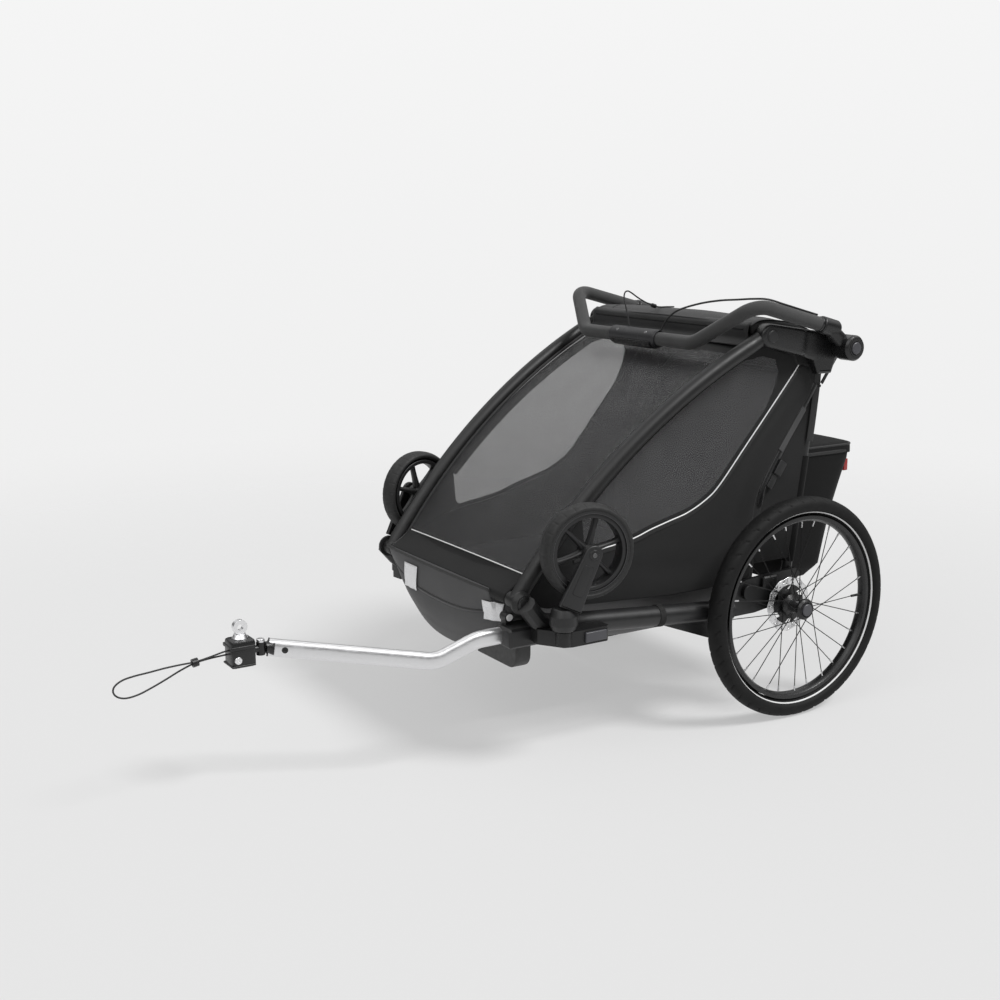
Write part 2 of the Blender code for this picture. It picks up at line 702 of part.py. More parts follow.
def tub_half_width(y):
    """Half the width of the fabric tub, which narrows towards the front."""
    beside_fabric = SIDE_PLANE_X + SIDE_PLANE_SLOPE * y - FABRIC_THICKNESS / 2 - 2 * GAP
    return min(beside_fabric, TUB_HALF_REAR, TUB_HALF_FRONT + TUB_FLARE * (y - TUB_FRONT_Y))


def floor_tub():
    """The hammock-like floor: a sheet whose depth swells from each end wall, rounder at the front."""
    shares = [(0.0, 0.0), (0.0, 0.35), (0.006, 0.70), (0.025, 0.93), (0.10, 1.0), (0.25, 1.0), (0.45, 1.0),
              (0.65, 1.0), (0.85, 1.0), (0.975, 0.95), (1.0, 0.6), (1.0, 0.0)]
    across = np.linspace(-1, 1, 15)
    depth = TUB_TOP_Z - TUB_BOTTOM_Z
    bm = bmesh.new()
    rows = []
    for along, sunk in shares:
        y = TUB_FRONT_Y + along * (TUB_REAR_Y - TUB_FRONT_Y)
        power = TUB_FRONT_POWER + 3.6 * min(max(along - TUB_ROUND_LENGTH, 0) * 2.2, 1)
        bow = -0.004 * math.sin(math.pi * sunk) if along < 0.1 else 0.0
        rows.append([
            bm.verts.new((v * tub_half_width(y), y + bow + TUB_CORNER * (1 - along) ** 8 * v ** 4,
                          TUB_TOP_Z - depth * sunk * (1 - abs(v) ** power)))
            for v in across
        ])
    for first, second in zip(rows, rows[1:]):
        for a, b, c, d in zip(first, first[1:], second[1:], second):
            bm.faces.new((a, b, c, d))
    bmesh.ops.remove_doubles(bm, verts=bm.verts, dist=0.00002)
    bmesh.ops.dissolve_degenerate(bm, dist=0.00002, edges=bm.edges)
    obj = mesh_object("floor_tub", bm)
    if sum(face.normal.z * face.area for face in obj.data.polygons) > 0:
        obj.data.flip_normals()
    wall = obj.modifiers.new("Wall", "SOLIDIFY")
    wall.thickness = TUB_WALL
    wall.offset = -1
    node(obj, "chassis", BLACK_FABRIC)


def bench_cushion():
    obj = block(
        "bench_cushion", (-BENCH_HALF_WIDTH, BENCH_FRONT_Y, BENCH_TOP_Z - BENCH_THICKNESS),
        (BENCH_HALF_WIDTH, BENCH_BACK_Y, BENCH_TOP_Z), 0.010, 2,
    )
    node(obj, "chassis", BLACK_FABRIC)


# Suspension and rear wheels


def swing_arm(side):
    """The trailing arm from the pivot plate to the stub axle, with the caliper's foot."""
    name = "swing_arm_" + SIDE_NAMES[side]
    axle = (0.0, TYRE_RADIUS)
    pivot = (SWING_PIVOT_Y, SWING_PIVOT_Z)
    slope = math.degrees(math.atan2(pivot[1] - axle[1], axle[0] - pivot[0]))
    outline = arc(axle, 0.019, -90 - slope, 90 - slope, 8)
    outline += arc(pivot, PIVOT_BOSS_RADIUS, 90 - slope, 270 - slope, 8)
    inner = PLATE_OUTER_X + GAP
    low, high = sorted((side * inner, side * SWING_OUTER_X))
    arm = meshed(slab(name, outline, low, high))
    stub = rod(name + "_stub", (side * (SWING_OUTER_X - 0.003), *axle),
               (side * (WHEEL_X + HUB_OUTER - 0.010), *axle), AXLE_RADIUS, 16)
    caliper = block(name + "_caliper", *sorted_corners(side, (inner + 0.001, -0.062, TYRE_RADIUS + 0.020),
                    (SWING_OUTER_X, -0.018, TYRE_RADIUS + 0.068)), 0.004, 1)
    node(join(arm, stub, caliper), name, SILVER)


def sorted_corners(side, low, high):
    """The corners of a box given for the left side, mirrored for the right."""
    x_low, x_high = sorted((side * low[0], side * high[0]))
    return (x_low, *low[1:]), (x_high, *high[1:])


def rear_tyre(side):
    name = "rear_tyre_" + SIDE_NAMES[side]
    half, low, high = TYRE_WIDTH / 2, TYRE_RADIUS - TYRE_HEIGHT, TYRE_RADIUS
    bead = RIM_WIDTH / 2
    profile = [
        (high - 0.012, half * 0.80), (high - 0.0015, half * 0.38), (high, 0), (high - 0.0015, -half * 0.38),
        (high - 0.012, -half * 0.80), (high - 0.024, -half), (low, -bead), (low, bead), (high - 0.024, half),
    ]
    obj = turned(name, profile, (side * WHEEL_X, 0, TYRE_RADIUS), side, 36)
    node(obj, "rear_wheel_" + SIDE_NAMES[side], BLACK_RUBBER)


def spoke(name, index, side):
    """One straight spoke from a hub flange to the rim: leading and trailing ones alternate."""
    turn = 2 * math.pi * index / SPOKE_COUNT
    flange = 1 if index % 2 else -1
    lead = 1 if (index // 2) % 2 else -1
    foot_turn = turn + lead * math.radians(62)
    foot_radius = FLANGE_RADIUS - 0.004
    x = side * WHEEL_X
    foot = (x + flange * SPOKE_SPREAD + lead * 0.0021, foot_radius * math.cos(foot_turn),
            TYRE_RADIUS + foot_radius * math.sin(foot_turn))
    reach = RIM_OUTER_RADIUS - RIM_DEPTH / 2
    head = (x + flange * 0.003, reach * math.cos(turn), TYRE_RADIUS + reach * math.sin(turn))
    return rod(name, foot, head, SPOKE_RADIUS, 4)


def merged(name, objects):
    """Several separate bodies as one operand mesh."""
    bm = bmesh.new()
    for obj in objects:
        bm.from_mesh(obj.data)
        bpy.data.objects.remove(obj, do_unlink=True)
    return mesh_object(name, bm)


def wheel_lacing(side):
    """Rim, spokes and bored hub as one laced wheel."""
    word = SIDE_NAMES[side]
    name = "wheel_rim_" + word
    centre = (side * WHEEL_X, 0, TYRE_RADIUS)
    outer, inner, half = RIM_OUTER_RADIUS, RIM_OUTER_RADIUS - RIM_DEPTH, RIM_WIDTH / 2
    rim = turned(name, [
        (outer, half), (outer, -half), (inner + 0.004, -half), (inner, -half * 0.45), (inner, half * 0.45),
        (inner + 0.004, half),
    ], centre, side, 36)
    bore = AXLE_RADIUS + SLIDE_GAP
    flange, start = FLANGE_RADIUS, -(WHEEL_X - HUB_START_X)
    cap_floor = HUB_OUTER - WHEEL_BUTTON_RISE * 2
    hub = turned(name + "_hub", [
        (WHEEL_BUTTON_RADIUS + SLIDE_GAP, HUB_OUTER), (0.0185, HUB_OUTER), (flange, SPOKE_SPREAD + 0.0035),
        (flange, SPOKE_SPREAD - 0.0035), (HUB_RADIUS, SPOKE_SPREAD - 0.007),
        (HUB_RADIUS, -SPOKE_SPREAD + 0.007), (flange, -SPOKE_SPREAD + 0.0035),
        (flange, -SPOKE_SPREAD - 0.0035), (0.0185, -SPOKE_SPREAD - 0.006), (0.0185, start), (bore, start),
        (bore, cap_floor), (WHEEL_BUTTON_RADIUS + SLIDE_GAP, cap_floor),
    ], centre, side, 16)
    spokes = merged(name + "_spokes", [spoke("spoke", i, side) for i in range(SPOKE_COUNT)])
    node(join(rim, spokes, hub), "rear_wheel_" + word, BLACK_TUBE)


def brake_rotor(side):
    """The disc, slipped over the hub's seat against the inner flange."""
    name = "brake_rotor_" + SIDE_NAMES[side]
    seat_x = WHEEL_X - SPOKE_SPREAD - 0.006 - GAP
    profile = [
        (ROTOR_RADIUS, 0), (ROTOR_RADIUS, -ROTOR_THICKNESS), (0.0185 + GAP, -ROTOR_THICKNESS), (0.0185 + GAP, 0),
    ]
    disc = turned(name, profile, (side * seat_x, 0, TYRE_RADIUS), side, 24)
    windows = []
    for i in range(6):
        turn = 2 * math.pi * (i + 0.5) / 6
        y, z = 0.036 * math.cos(turn), TYRE_RADIUS + 0.036 * math.sin(turn)
        windows.append(rod("window", (side * (seat_x - 0.01), y, z), (side * (seat_x + 0.01), y, z), 0.011, 8))
    node(cut(disc, merged(name + "_windows", windows)), "rear_wheel_" + SIDE_NAMES[side], STEEL)


def wheel_button(side):
    """The release button in the hub's outer face; it slides in along the axle."""
    name = "wheel_button_" + SIDE_NAMES[side]
    base = HUB_OUTER - WHEEL_BUTTON_RISE
    top = HUB_OUTER + WHEEL_BUTTON_RISE
    radius = WHEEL_BUTTON_RADIUS
    obj = turned(name, [(0, top), (radius - 0.002, top), (radius, top - 0.0015), (radius, base), (0, base)],
                 (side * WHEEL_X, 0, TYRE_RADIUS), side, 20)
    node(obj, name, SLATE_PLASTIC)


# Casters


def outboard(side, offset):
    """A shift of the given length along a stowed caster's axle, which is toed by CASTER_TOE."""
    return Vector((side * offset * math.cos(CASTER_TOE), -offset * math.sin(CASTER_TOE), 0))


def caster_fork(side):
    """Post, foot and the single arm that rises outboard of the wheel."""
    word = SIDE_NAMES[side]
    name = "caster_fork_" + word
    top_z = BRACKET_LOW_Z + BRACKET_HEIGHT
    post_x, post_y = side * CASTER_X, CASTER_POST_Y
    foot_low = top_z + 0.004
    foot_high = foot_low + CASTER_FOOT_HEIGHT
    foot = rod(name, (post_x, post_y, foot_low), (post_x, post_y, foot_high), CASTER_FOOT_RADIUS, 20,
               CASTER_FOOT_RADIUS * 0.85)
    neck = rod(name + "_neck", (post_x, post_y, top_z + GAP), (post_x, post_y, foot_low + 0.002), 0.014, 16)
    post = rod(name + "_post", (post_x, post_y, top_z - CASTER_POST_DEPTH), (post_x, post_y, foot_low + 0.002),
               CASTER_POST_RADIUS, 16)
    hub = Vector((side * CASTER_X, CASTER_WHEEL_Y, CASTER_WHEEL_Z))
    arm_offset = CASTER_TYRE_WIDTH / 2 + 0.003 + CASTER_ARM_THICKNESS / 2
    arm_hub = hub + outboard(side, arm_offset)
    arm_foot = Vector((post_x, post_y, foot_high - 0.016)) + outboard(side, 0.010)
    knee = Vector((post_x, post_y, foot_high)) + outboard(side, arm_offset) + Vector((0, 0.012, 0.022))
    arm = caster_arm(name + "_arm", [arm_foot, knee, arm_hub], side)
    axle = rod(name + "_axle", hub - outboard(side, CASTER_HUB_WIDTH / 2 + 0.002), arm_hub, 0.004, 12)
    boss = rod(name + "_boss", hub + outboard(side, CASTER_HUB_WIDTH / 2 + 0.001), arm_hub, 0.013, 16)
    node(join(foot, neck, post, arm, axle, boss), "caster_" + word, BLACK_PLASTIC)


def caster_arm(name, route, side):
    """A flat bar swept along three points, wide in the wheel's plane, with a round upper end."""
    thick = outboard(side, CASTER_ARM_THICKNESS / 2)
    bm = bmesh.new()
    rings = []
    widths = (CASTER_ARM_WIDTH * 0.5, CASTER_ARM_WIDTH * 0.62, CASTER_ARM_WIDTH * 0.5)
    upwards = (route[2] - route[1]).normalized()
    sideways = upwards.cross(thick.normalized()).normalized()
    stations = list(zip(route, widths))
    for angle in (35, 65, 85):
        turn = math.radians(angle)
        radius = CASTER_ARM_WIDTH * 0.5
        stations.append((route[2] + upwards * radius * math.sin(turn), radius * math.cos(turn)))
    for middle, half in stations:
        corners = (middle + thick + sideways * half, middle + thick - sideways * half,
                   middle - thick - sideways * half, middle - thick + sideways * half)
        rings.append([bm.verts.new(c) for c in corners])
    for first, second in zip(rings, rings[1:]):
        for i in range(4):
            bm.faces.new((first[i], first[(i + 1) % 4], second[(i + 1) % 4], second[i]))
    bm.faces.new(rings[0])
    bm.faces.new(rings[-1])
    return mesh_object(name, bm)


def caster_tyre(side):
    word = SIDE_NAMES[side]
    half, high, low = CASTER_TYRE_WIDTH / 2, CASTER_TYRE_RADIUS, CASTER_TYRE_RADIUS - CASTER_TYRE_HEIGHT
    profile = [
        (high - 0.006, half * 0.78), (high, half * 0.30), (high, -half * 0.30), (high - 0.006, -half * 0.78),
        (high - 0.013, -half), (low, -half * 0.80), (low, half * 0.80), (high - 0.013, half),
    ]
    obj = turned("caster_tyre_" + word, profile, (side * CASTER_X, CASTER_WHEEL_Y, CASTER_WHEEL_Z), side, 28,
                 CASTER_TOE)
    node(obj, "caster_wheel_" + word, BLACK_RUBBER)


def caster_rim(side):
    word = SIDE_NAMES[side]
    name = "caster_rim_" + word
    centre = Vector((side * CASTER_X, CASTER_WHEEL_Y, CASTER_WHEEL_Z))
    half, outer, inner = CASTER_RIM_WIDTH / 2, CASTER_RIM_OUTER, CASTER_RIM_OUTER - CASTER_RIM_DEPTH
    rim = turned(name, [(outer, half), (outer, -half), (inner, -half), (inner, half)], centre, side, 28,
                 CASTER_TOE)
    bore, width = 0.004 + SLIDE_GAP, CASTER_HUB_WIDTH / 2
    hub = turned(name + "_hub", [(CASTER_HUB_RADIUS, width), (CASTER_HUB_RADIUS, -width), (bore, -width),
                                 (bore, width)], centre, side, 16, CASTER_TOE)
    along = Vector((side * math.sin(CASTER_TOE), math.cos(CASTER_TOE), 0))
    spokes = []
    for i in range(CASTER_SPOKES):
        turn = 2 * math.pi * (i + 0.25) / CASTER_SPOKES
        ray = along * math.cos(turn) + Vector((0, 0, math.sin(turn)))
        spokes.append(rod("spoke", centre + ray * (CASTER_HUB_RADIUS - 0.002),
                          centre + ray * (inner + 0.003), 0.0075, 8, 0.0055))
    node(join(rim, hub, merged(name + "_spokes", spokes)), "caster_wheel_" + word, BLACK_PLASTIC)


# Front frame, cover, roof and side fabric


def front_tube():
    """The bowed U-shaped tube: two uprights and the bar across at the knuckles."""
    route = []
    for share in np.linspace(0, 0.93, 9):
        y, z = frame_point(share)
        route.append((frame_x(share), y, z))
    y, z = frame_point(1)
    corner = (FRAME_TOP_X - 0.006, y, z)
    left = rounded([route[-1], corner, (0.15, y, z)], FRAME_CORNER, 4)[1:-1]
    half = route + [tuple(p) for p in left]
    whole = half + [(-x, yy, zz) for x, yy, zz in reversed(half)]
    tube = meshed(pipe("front_tube", whole, FRAME_RADIUS, 3))
    for side in (LEFT, RIGHT):
        boss = rod("front_tube_boss_" + SIDE_NAMES[side],
                   (side * (FRAME_LOW_X - FRAME_RADIUS), KNOB_Y, KNOB_Z),
                   (side * (FRAME_LOW_X + FRAME_RADIUS), KNOB_Y, KNOB_Z), FRAME_RADIUS, 20)
        join(tube, boss)
        cut(tube, rod("front_tube_trim_" + SIDE_NAMES[side],
                      (side * (FRAME_LOW_X + FRAME_RADIUS), KNOB_Y, KNOB_Z),
                      (side * (FRAME_LOW_X + FRAME_RADIUS + 0.02), KNOB_Y, KNOB_Z), 0.05, 20))
        cut(tube, rod("front_tube_trim2_" + SIDE_NAMES[side],
                      (side * (FRAME_LOW_X - FRAME_RADIUS), KNOB_Y, KNOB_Z),
                      (side * (FRAME_LOW_X - FRAME_RADIUS - 0.02), KNOB_Y, KNOB_Z), 0.05, 20))
    node(tube, "front_frame", BLACK_TUBE)


def top_arm(side):
    """The moulded arm from the knuckle to the handlebar hub, with the socket for the seat strut below it."""
    name = "top_arm_" + SIDE_NAMES[side]
    knuckle, hub = (KNUCKLE_Y, KNUCKLE_Z), (HANDLE_HUB_Y, HANDLE_HUB_Z)
    outline = arc(knuckle, KNUCKLE_RADIUS, 78, 262, 10)
    outline += [(0.020, 0.812), (0.058, 0.800), (0.072, STRUT_TOP_Z + 0.014), (STRUT_TOP_Y + 0.006, STRUT_TOP_Z + 0.014)]
    outline += arc(hub, ARM_HUB_RADIUS, -100, 78, 10)
    low, high = sorted((side * ARM_INNER_X, side * (ARM_INNER_X + ARM_THICKNESS)))
    arm = meshed(slab(name, outline, low, high))
    room = meshed(pipe(name + "_room", frame_run(side), FRAME_RADIUS + GAP, 3))
    step_x = ARM_INNER_X + ARM_REAR_THICKNESS
    step = rod(name + "_step", (side * step_x, *hub), (side * (step_x + 0.03), *hub), ARM_STEP_RADIUS, 32)
    pin = rod(name + "_pin", (side * (STRUT_X + STRUT_RADIUS + GAP), 0.094, STRUT_TOP_Z + 0.022),
              (side * (ARM_INNER_X + 0.002), 0.094, STRUT_TOP_Z + 0.022), 0.005, 12)
    node(cut(join(arm, pin), room, step), "front_frame", BLACK_PLASTIC)


def frame_run(side):
    """The front tube's axis near the knuckle, for the channel that it runs through."""
    route = []
    for share in np.linspace(0.80, 0.93, 3):
        y, z = frame_point(share)
        route.append((side * frame_x(share), y, z))
    y, z = frame_point(1)
    corner = (side * (FRAME_TOP_X - 0.006), y, z)
    turn = rounded([route[-1], corner, (side * 0.15, y, z)], FRAME_CORNER, 4)[1:]
    return route + [tuple(p) for p in turn]


def cover_rows():
    """The front cover's cross rows from the lower flap to the roof seam: (half width, y, z)."""
    rows = []
    for share in np.linspace(0.035, 0.95, 10):
        y, z = frame_point(share)
        ahead = frame_point(share + 0.01) - frame_point(share - 0.01)
        out = Vector((-ahead.y, ahead.x)).normalized()
        middle = frame_point(share) - out * COVER_SET_IN
        rows.append((frame_x(share) - FRAME_RADIUS - 2 * GAP, middle.x, middle.y, out))
    return rows


def sheet(name, rows, thickness, columns=7):
    """A thin crowned sheet over cross rows of (half width, y, z, outward direction)."""
    bm = bmesh.new()
    grid = []
    for half, y, z, out in rows:
        line = []
        for v in np.linspace(-1, 1, columns):
            crown = COVER_CROWN * (1 - v * v)
            line.append(bm.verts.new((v * half, y + out.x * crown, z + out.y * crown)))
        grid.append(line)
    for first, second in zip(grid, grid[1:]):
        for a, b, c, d in zip(first, first[1:], second[1:], second):
            bm.faces.new((a, b, c, d))
    obj = mesh_object(name, bm)
    wall = obj.modifiers.new("Wall", "SOLIDIFY")
    wall.thickness = thickness
    wall.offset = 0
    return obj


def front_cover():
    node(sheet("front_cover", cover_rows(), COVER_THICKNESS), "front_frame", TINTED_FILM)


def roof():
    """The top fabric: from the cover's seam over the ridge and down to the seat back."""
    half = ARM_INNER_X - GAP
    profile = [
        (-0.112, 0.882), (RIDGE_Y, RIDGE_Z - 0.006), (-0.040, RIDGE_Z - 0.007), (0.020, RIDGE_Z - 0.018),
        (0.075, 0.858), (0.108, 0.815), (0.112, STRUT_TOP_Z + STRUT_RADIUS + 0.006),
    ]
    rows = []
    for i, (y, z) in enumerate(profile):
        before, after = profile[max(i - 1, 0)], profile[min(i + 1, len(profile) - 1)]
        out = Vector((-(after[1] - before[1]), after[0] - before[0])).normalized()
        rows.append((half, y, z, out))
    node(sheet("roof", rows, COVER_THICKNESS), "front_frame", BLACK_FABRIC)


def side_edge():
    """The piping line (y, z) between a side's window above and its fabric below, rear to front."""
    return [(0.036, 0.789), (0.021, 0.770), (-0.040, 0.698), (-0.108, 0.619), (-0.178, 0.538), (-0.215, 0.509),
            (-0.263, 0.486), (-0.312, 0.473), (-0.361, 0.460), (-0.401, 0.447), (-0.451, 0.438), (-0.502, 0.431),
            (-0.556, 0.421)]


def inside_frame(share):
    """A point (y, z) just under the front tube."""
    ahead = frame_point(share + 0.01) - frame_point(share - 0.01)
    out = Vector((-ahead.y, ahead.x)).normalized()
    return tuple(frame_point(share) - out * (FRAME_RADIUS + 0.003))


def side_panel(name, outline, body, side, look):
    thickness = FABRIC_THICKNESS
    middle = side * SIDE_PLANE_X
    obj = slab(name, outline, middle - thickness / 2, middle + thickness / 2, -side * SIDE_PLANE_SLOPE)
    node(obj, body, look)


def side_window(side):
    edge = [(y, z + GAP) for y, z in side_edge()]
    upper = [inside_frame(share) for share in np.linspace(0.19, 0.93, 7)]
    outline = edge + upper + [(-0.060, 0.828), (0.030, 0.806)]
    side_panel("side_window_" + SIDE_NAMES[side], outline, "front_frame", side, TINTED_FILM)


def side_fabric(side):
    edge = [(y, z - 4 * GAP) for y, z in side_edge()]
    low = [(-0.560, 0.398), (-0.556, 0.345), (-0.535, 0.322), (-0.300, 0.306), (-0.150, 0.3085)]
    rear = [(-0.135, 0.336), (-0.070, 0.345), (-0.062, 0.430), (-0.050, 0.500), (0.060, 0.680), (0.082, 0.735), (0.048, 0.790)]
    side_panel("side_fabric_" + SIDE_NAMES[side], edge + low + rear, "chassis", side, BLACK_FABRIC)


# Back frame, seat back and bag


def back_tube():
    """The U-shaped seat frame, from a strut foot up, across at the top and down again."""
    half = rounded([
        (STRUT_X, STRUT_FOOT_Y, STRUT_FOOT_Z), (STRUT_X, STRUT_TOP_Y, STRUT_TOP_Z), (0.1, STRUT_TOP_Y, STRUT_TOP_Z),
    ], STRUT_CORNER, 5)[:-1]
    whole = [tuple(p) for p in half] + [(-p[0], p[1], p[2]) for p in reversed(half)]
    node(pipe("back_tube", whole, STRUT_RADIUS, 2), "back_frame", BLACK_TUBE)


def seat_back():
    """The leaning double backrest, carried at its top by the back tube."""
    lean = [(-0.094, 0.288), (-0.062, 0.500), (0.062, 0.728)]
    thick = SEAT_THICKNESS
    top_y = STRUT_TOP_Y - STRUT_RADIUS - 4 * GAP
    outline = lean + [(top_y - 0.008, STRUT_TOP_Z + 0.006), (top_y, STRUT_TOP_Z), (top_y, 0.735), (-0.040, 0.496), (-0.094 + thick, 0.288)]
    node(slab("seat_back", outline, -SEAT_HALF_WIDTH, SEAT_HALF_WIDTH), "back_frame", BLACK_FABRIC)


def bag_ring(bm, z, depth, half):
    """One horizontal ring of the bag with clipped corners."""
    front, rear, clip = BAG_FRONT_Y, BAG_FRONT_Y + depth, 0.018
    plan = [(-half, front), (half, front), (half, rear - clip), (half - clip, rear), (-half + clip, rear),
            (-half, rear - clip)]
    return [bm.verts.new((x, y, z)) for x, y in plan]


def cargo_bag():
    """The open-topped cargo bag between the struts, deeper at the top."""
    bm = bmesh.new()
    levels = [(BAG_TOP_Z, 0.0), (BAG_TOP_Z - 0.030, 0.02), (0.430, 0.5), (BAG_BOTTOM_Z + 0.030, 0.92),
              (BAG_BOTTOM_Z, 1.25)]
    rings = []
    for z, share in levels:
        depth = BAG_DEPTH_TOP + (BAG_DEPTH_BOTTOM - BAG_DEPTH_TOP) * share
        rings.append(bag_ring(bm, z, depth, BAG_HALF_WIDTH - BAG_TAPER_X * share))
    for first, second in zip(rings, rings[1:]):
        for i in range(6):
            bm.faces.new((first[i], first[(i + 1) % 6], second[(i + 1) % 6], second[i]))
    bm.faces.new(rings[-1])
    obj = mesh_object("cargo_bag", bm)
    wall = obj.modifiers.new("Wall", "SOLIDIFY")
    wall.thickness = BAG_WALL
    wall.offset = -1
    node(obj, "back_frame", BLACK_FABRIC)


def bag_flap():
    half = BAG_HALF_WIDTH
    obj = block("bag_flap", (-half, BAG_FRONT_Y + 0.004, FLAP_Z), (half, FLAP_REAR_Y, FLAP_Z + FLAP_THICKNESS),
                0.003, 1)
    node(obj, "bag_flap", BLACK_FABRIC)


# Handlebar


def bar_route():
    left = [
        (BAR_X, BAR_CLAMP_Y, BAR_CLAMP_Z), (BAR_X, BAR_BEND_Y, BAR_BEND_Z), (BAR_CROSS_X, BAR_CROSS_Y, BAR_CROSS_Z),
    ]
    return left + [(-x, y, z) for x, y, z in reversed(left)]


def handlebar():
    node(pipe("handlebar", rounded(bar_route(), BAR_CORNER, 6), BAR_RADIUS, 3), "handlebar", BLACK_RUBBER)


def bar_hub(side):
    """The turning barrel at the arm's end with the clamp that holds the bar and the pocket for its button."""
    name = "bar_hub_" + SIDE_NAMES[side]
    start = ARM_INNER_X + ARM_REAR_THICKNESS + GAP
    rib_end = start + COLLAR_RIB_WIDTH
    outer = BARREL_OUTER_X
    pocket = FOLD_BUTTON_RADIUS + SLIDE_GAP
    barrel = turned(name, [
        (pocket, outer - start), (BARREL_RADIUS - 0.004, outer - start), (BARREL_RADIUS, outer - start - 0.004),
        (BARREL_RADIUS, rib_end - start), (COLLAR_RIB_RADIUS, rib_end - start), (COLLAR_RIB_RADIUS, 0), (0, 0),
        (0, outer - start - FOLD_BUTTON_DEPTH), (pocket, outer - start - FOLD_BUTTON_DEPTH),
    ], (side * start, HANDLE_HUB_Y, HANDLE_HUB_Z), side, 24)
    along = (Vector(bar_route()[0]) - Vector(bar_route()[1])).normalized()
    clamp_start = Vector((side * BAR_X, BAR_CLAMP_Y, BAR_CLAMP_Z)) + along * GAP
    clamp_end = clamp_start + along * CLAMP_LENGTH
    clamp = rod(name + "_clamp", clamp_start, clamp_end, CLAMP_RADIUS, 16)
    middle_x = (rib_end + outer - FOLD_BUTTON_DEPTH) / 2
    neck = rod(name + "_neck", clamp_end - along * CLAMP_LENGTH / 2,
               (side * middle_x, HANDLE_HUB_Y, HANDLE_HUB_Z), CLAMP_NECK_RADIUS, 12)
    node(join(barrel, clamp, neck), "handlebar", BLACK_PLASTIC)


def fold_button(side):
    name = "fold_button_" + SIDE_NAMES[side]
    top = FOLD_BUTTON_RISE
    base = FOLD_BUTTON_RISE - FOLD_BUTTON_DEPTH + 0.0005
    radius = FOLD_BUTTON_RADIUS
    obj = turned(name, [(0, top), (radius - 0.0015, top), (radius, top - 0.0015), (radius, base), (0, base)],
                 (side * BARREL_OUTER_X, HANDLE_HUB_Y, HANDLE_HUB_Z), side, 20)
    node(obj, name, SLATE_PLASTIC)


def brake_housing():
    """The shell round the middle of the crossbar."""
    half, inner = HOUSING_HALF_LENGTH, BAR_RADIUS + GAP
    profile = [(HOUSING_RADIUS, half - 0.004), (HOUSING_RADIUS, -half + 0.004), (HOUSING_RADIUS - 0.002, -half),
               (inner, -half), (inner, half), (HOUSING_RADIUS - 0.002, half)]
    obj = turned("brake_housing", profile, (0, BAR_CROSS_Y, BAR_CROSS_Z), LEFT, 24)
    node(obj, "handlebar", SLATE_PLASTIC)


def brake_lever():
    """The curved blade under the housing; it swings about the bar's own axis."""
    inner, outer = HOUSING_RADIUS + GAP, HOUSING_RADIUS + LEVER_THICKNESS
    centre = (BAR_CROSS_Y, BAR_CROSS_Z)
    outline = arc(centre, outer, 195, 290, 8) + arc(centre, inner, 290, 195, 8)
    node(slab("brake_lever", outline, -LEVER_HALF_LENGTH, LEVER_HALF_LENGTH), "brake_lever", BLACK_PLASTIC)


def brake_cable():
    route = smooth_route(BRAKE_CABLE_ROUTE, 0.020)
    node(pipe("brake_cable", route, CABLE_RADIUS, 1), "handlebar", BLACK_RUBBER)


def wrist_strap():
    route = smooth_route(WRIST_STRAP_ROUTE, 0.014)
    node(pipe("wrist_strap", route, LEASH_RADIUS, 1), "handlebar", BLACK_FABRIC)


# Hitch


def receiver_box():
    low = (RECEIVER_X - RECEIVER_WIDTH / 2, RECEIVER_FRONT_Y, RECEIVER_Z - RECEIVER_HEIGHT / 2)
    high = (SIDE_TUBE_X - SIDE_TUBE_RADIUS - GAP, -0.640, RECEIVER_Z + RECEIVER_HEIGHT / 2)
    return low, high


def hitch_receiver():
    """The clamp block at the left front corner: the hitch arm's socket, and the turret of its lock button."""
    low, high = receiver_box()
    name = "hitch_receiver"
    obj = block(name, low, high, 0.005, 1)
    socket = meshed(pipe(name + "_socket", [(RECEIVER_X, RECEIVER_FRONT_Y - 0.02, RECEIVER_Z),
                                            (RECEIVER_X, -0.662, RECEIVER_Z)], 0,
                         section=(ARM_TUBE_HALF_WIDTH + SLIDE_GAP, ARM_TUBE_HALF_HEIGHT + SLIDE_GAP)))
    start = (TURRET_END_X - TURRET_LENGTH, TURRET_Y, TURRET_Z)
    turret = rod(name + "_turret", start, (TURRET_END_X, TURRET_Y, TURRET_Z), TURRET_RADIUS, 20)
    foot = block(name + "_foot", (start[0] + 0.002, TURRET_Y - 0.008, high[2] - 0.002),
                 (TURRET_END_X - 0.002, TURRET_Y + 0.008, TURRET_Z))
    pocket = rod(name + "_pocket", (TURRET_END_X - BUTTON_DEPTH, TURRET_Y, TURRET_Z),
                 (TURRET_END_X + 0.01, TURRET_Y, TURRET_Z), BUTTON_RADIUS + SLIDE_GAP, 16)
    node(cut(join(obj, turret, foot), socket, pocket), "chassis", BLACK_PLASTIC)


def hull_height(x, y):
    """Height of the tub's underside near its front, at its full depth."""
    share = min(abs(x) / tub_half_width(y), 1)
    return TUB_TOP_Z - (TUB_TOP_Z - TUB_BOTTOM_Z) * (1 - share ** TUB_FRONT_POWER)


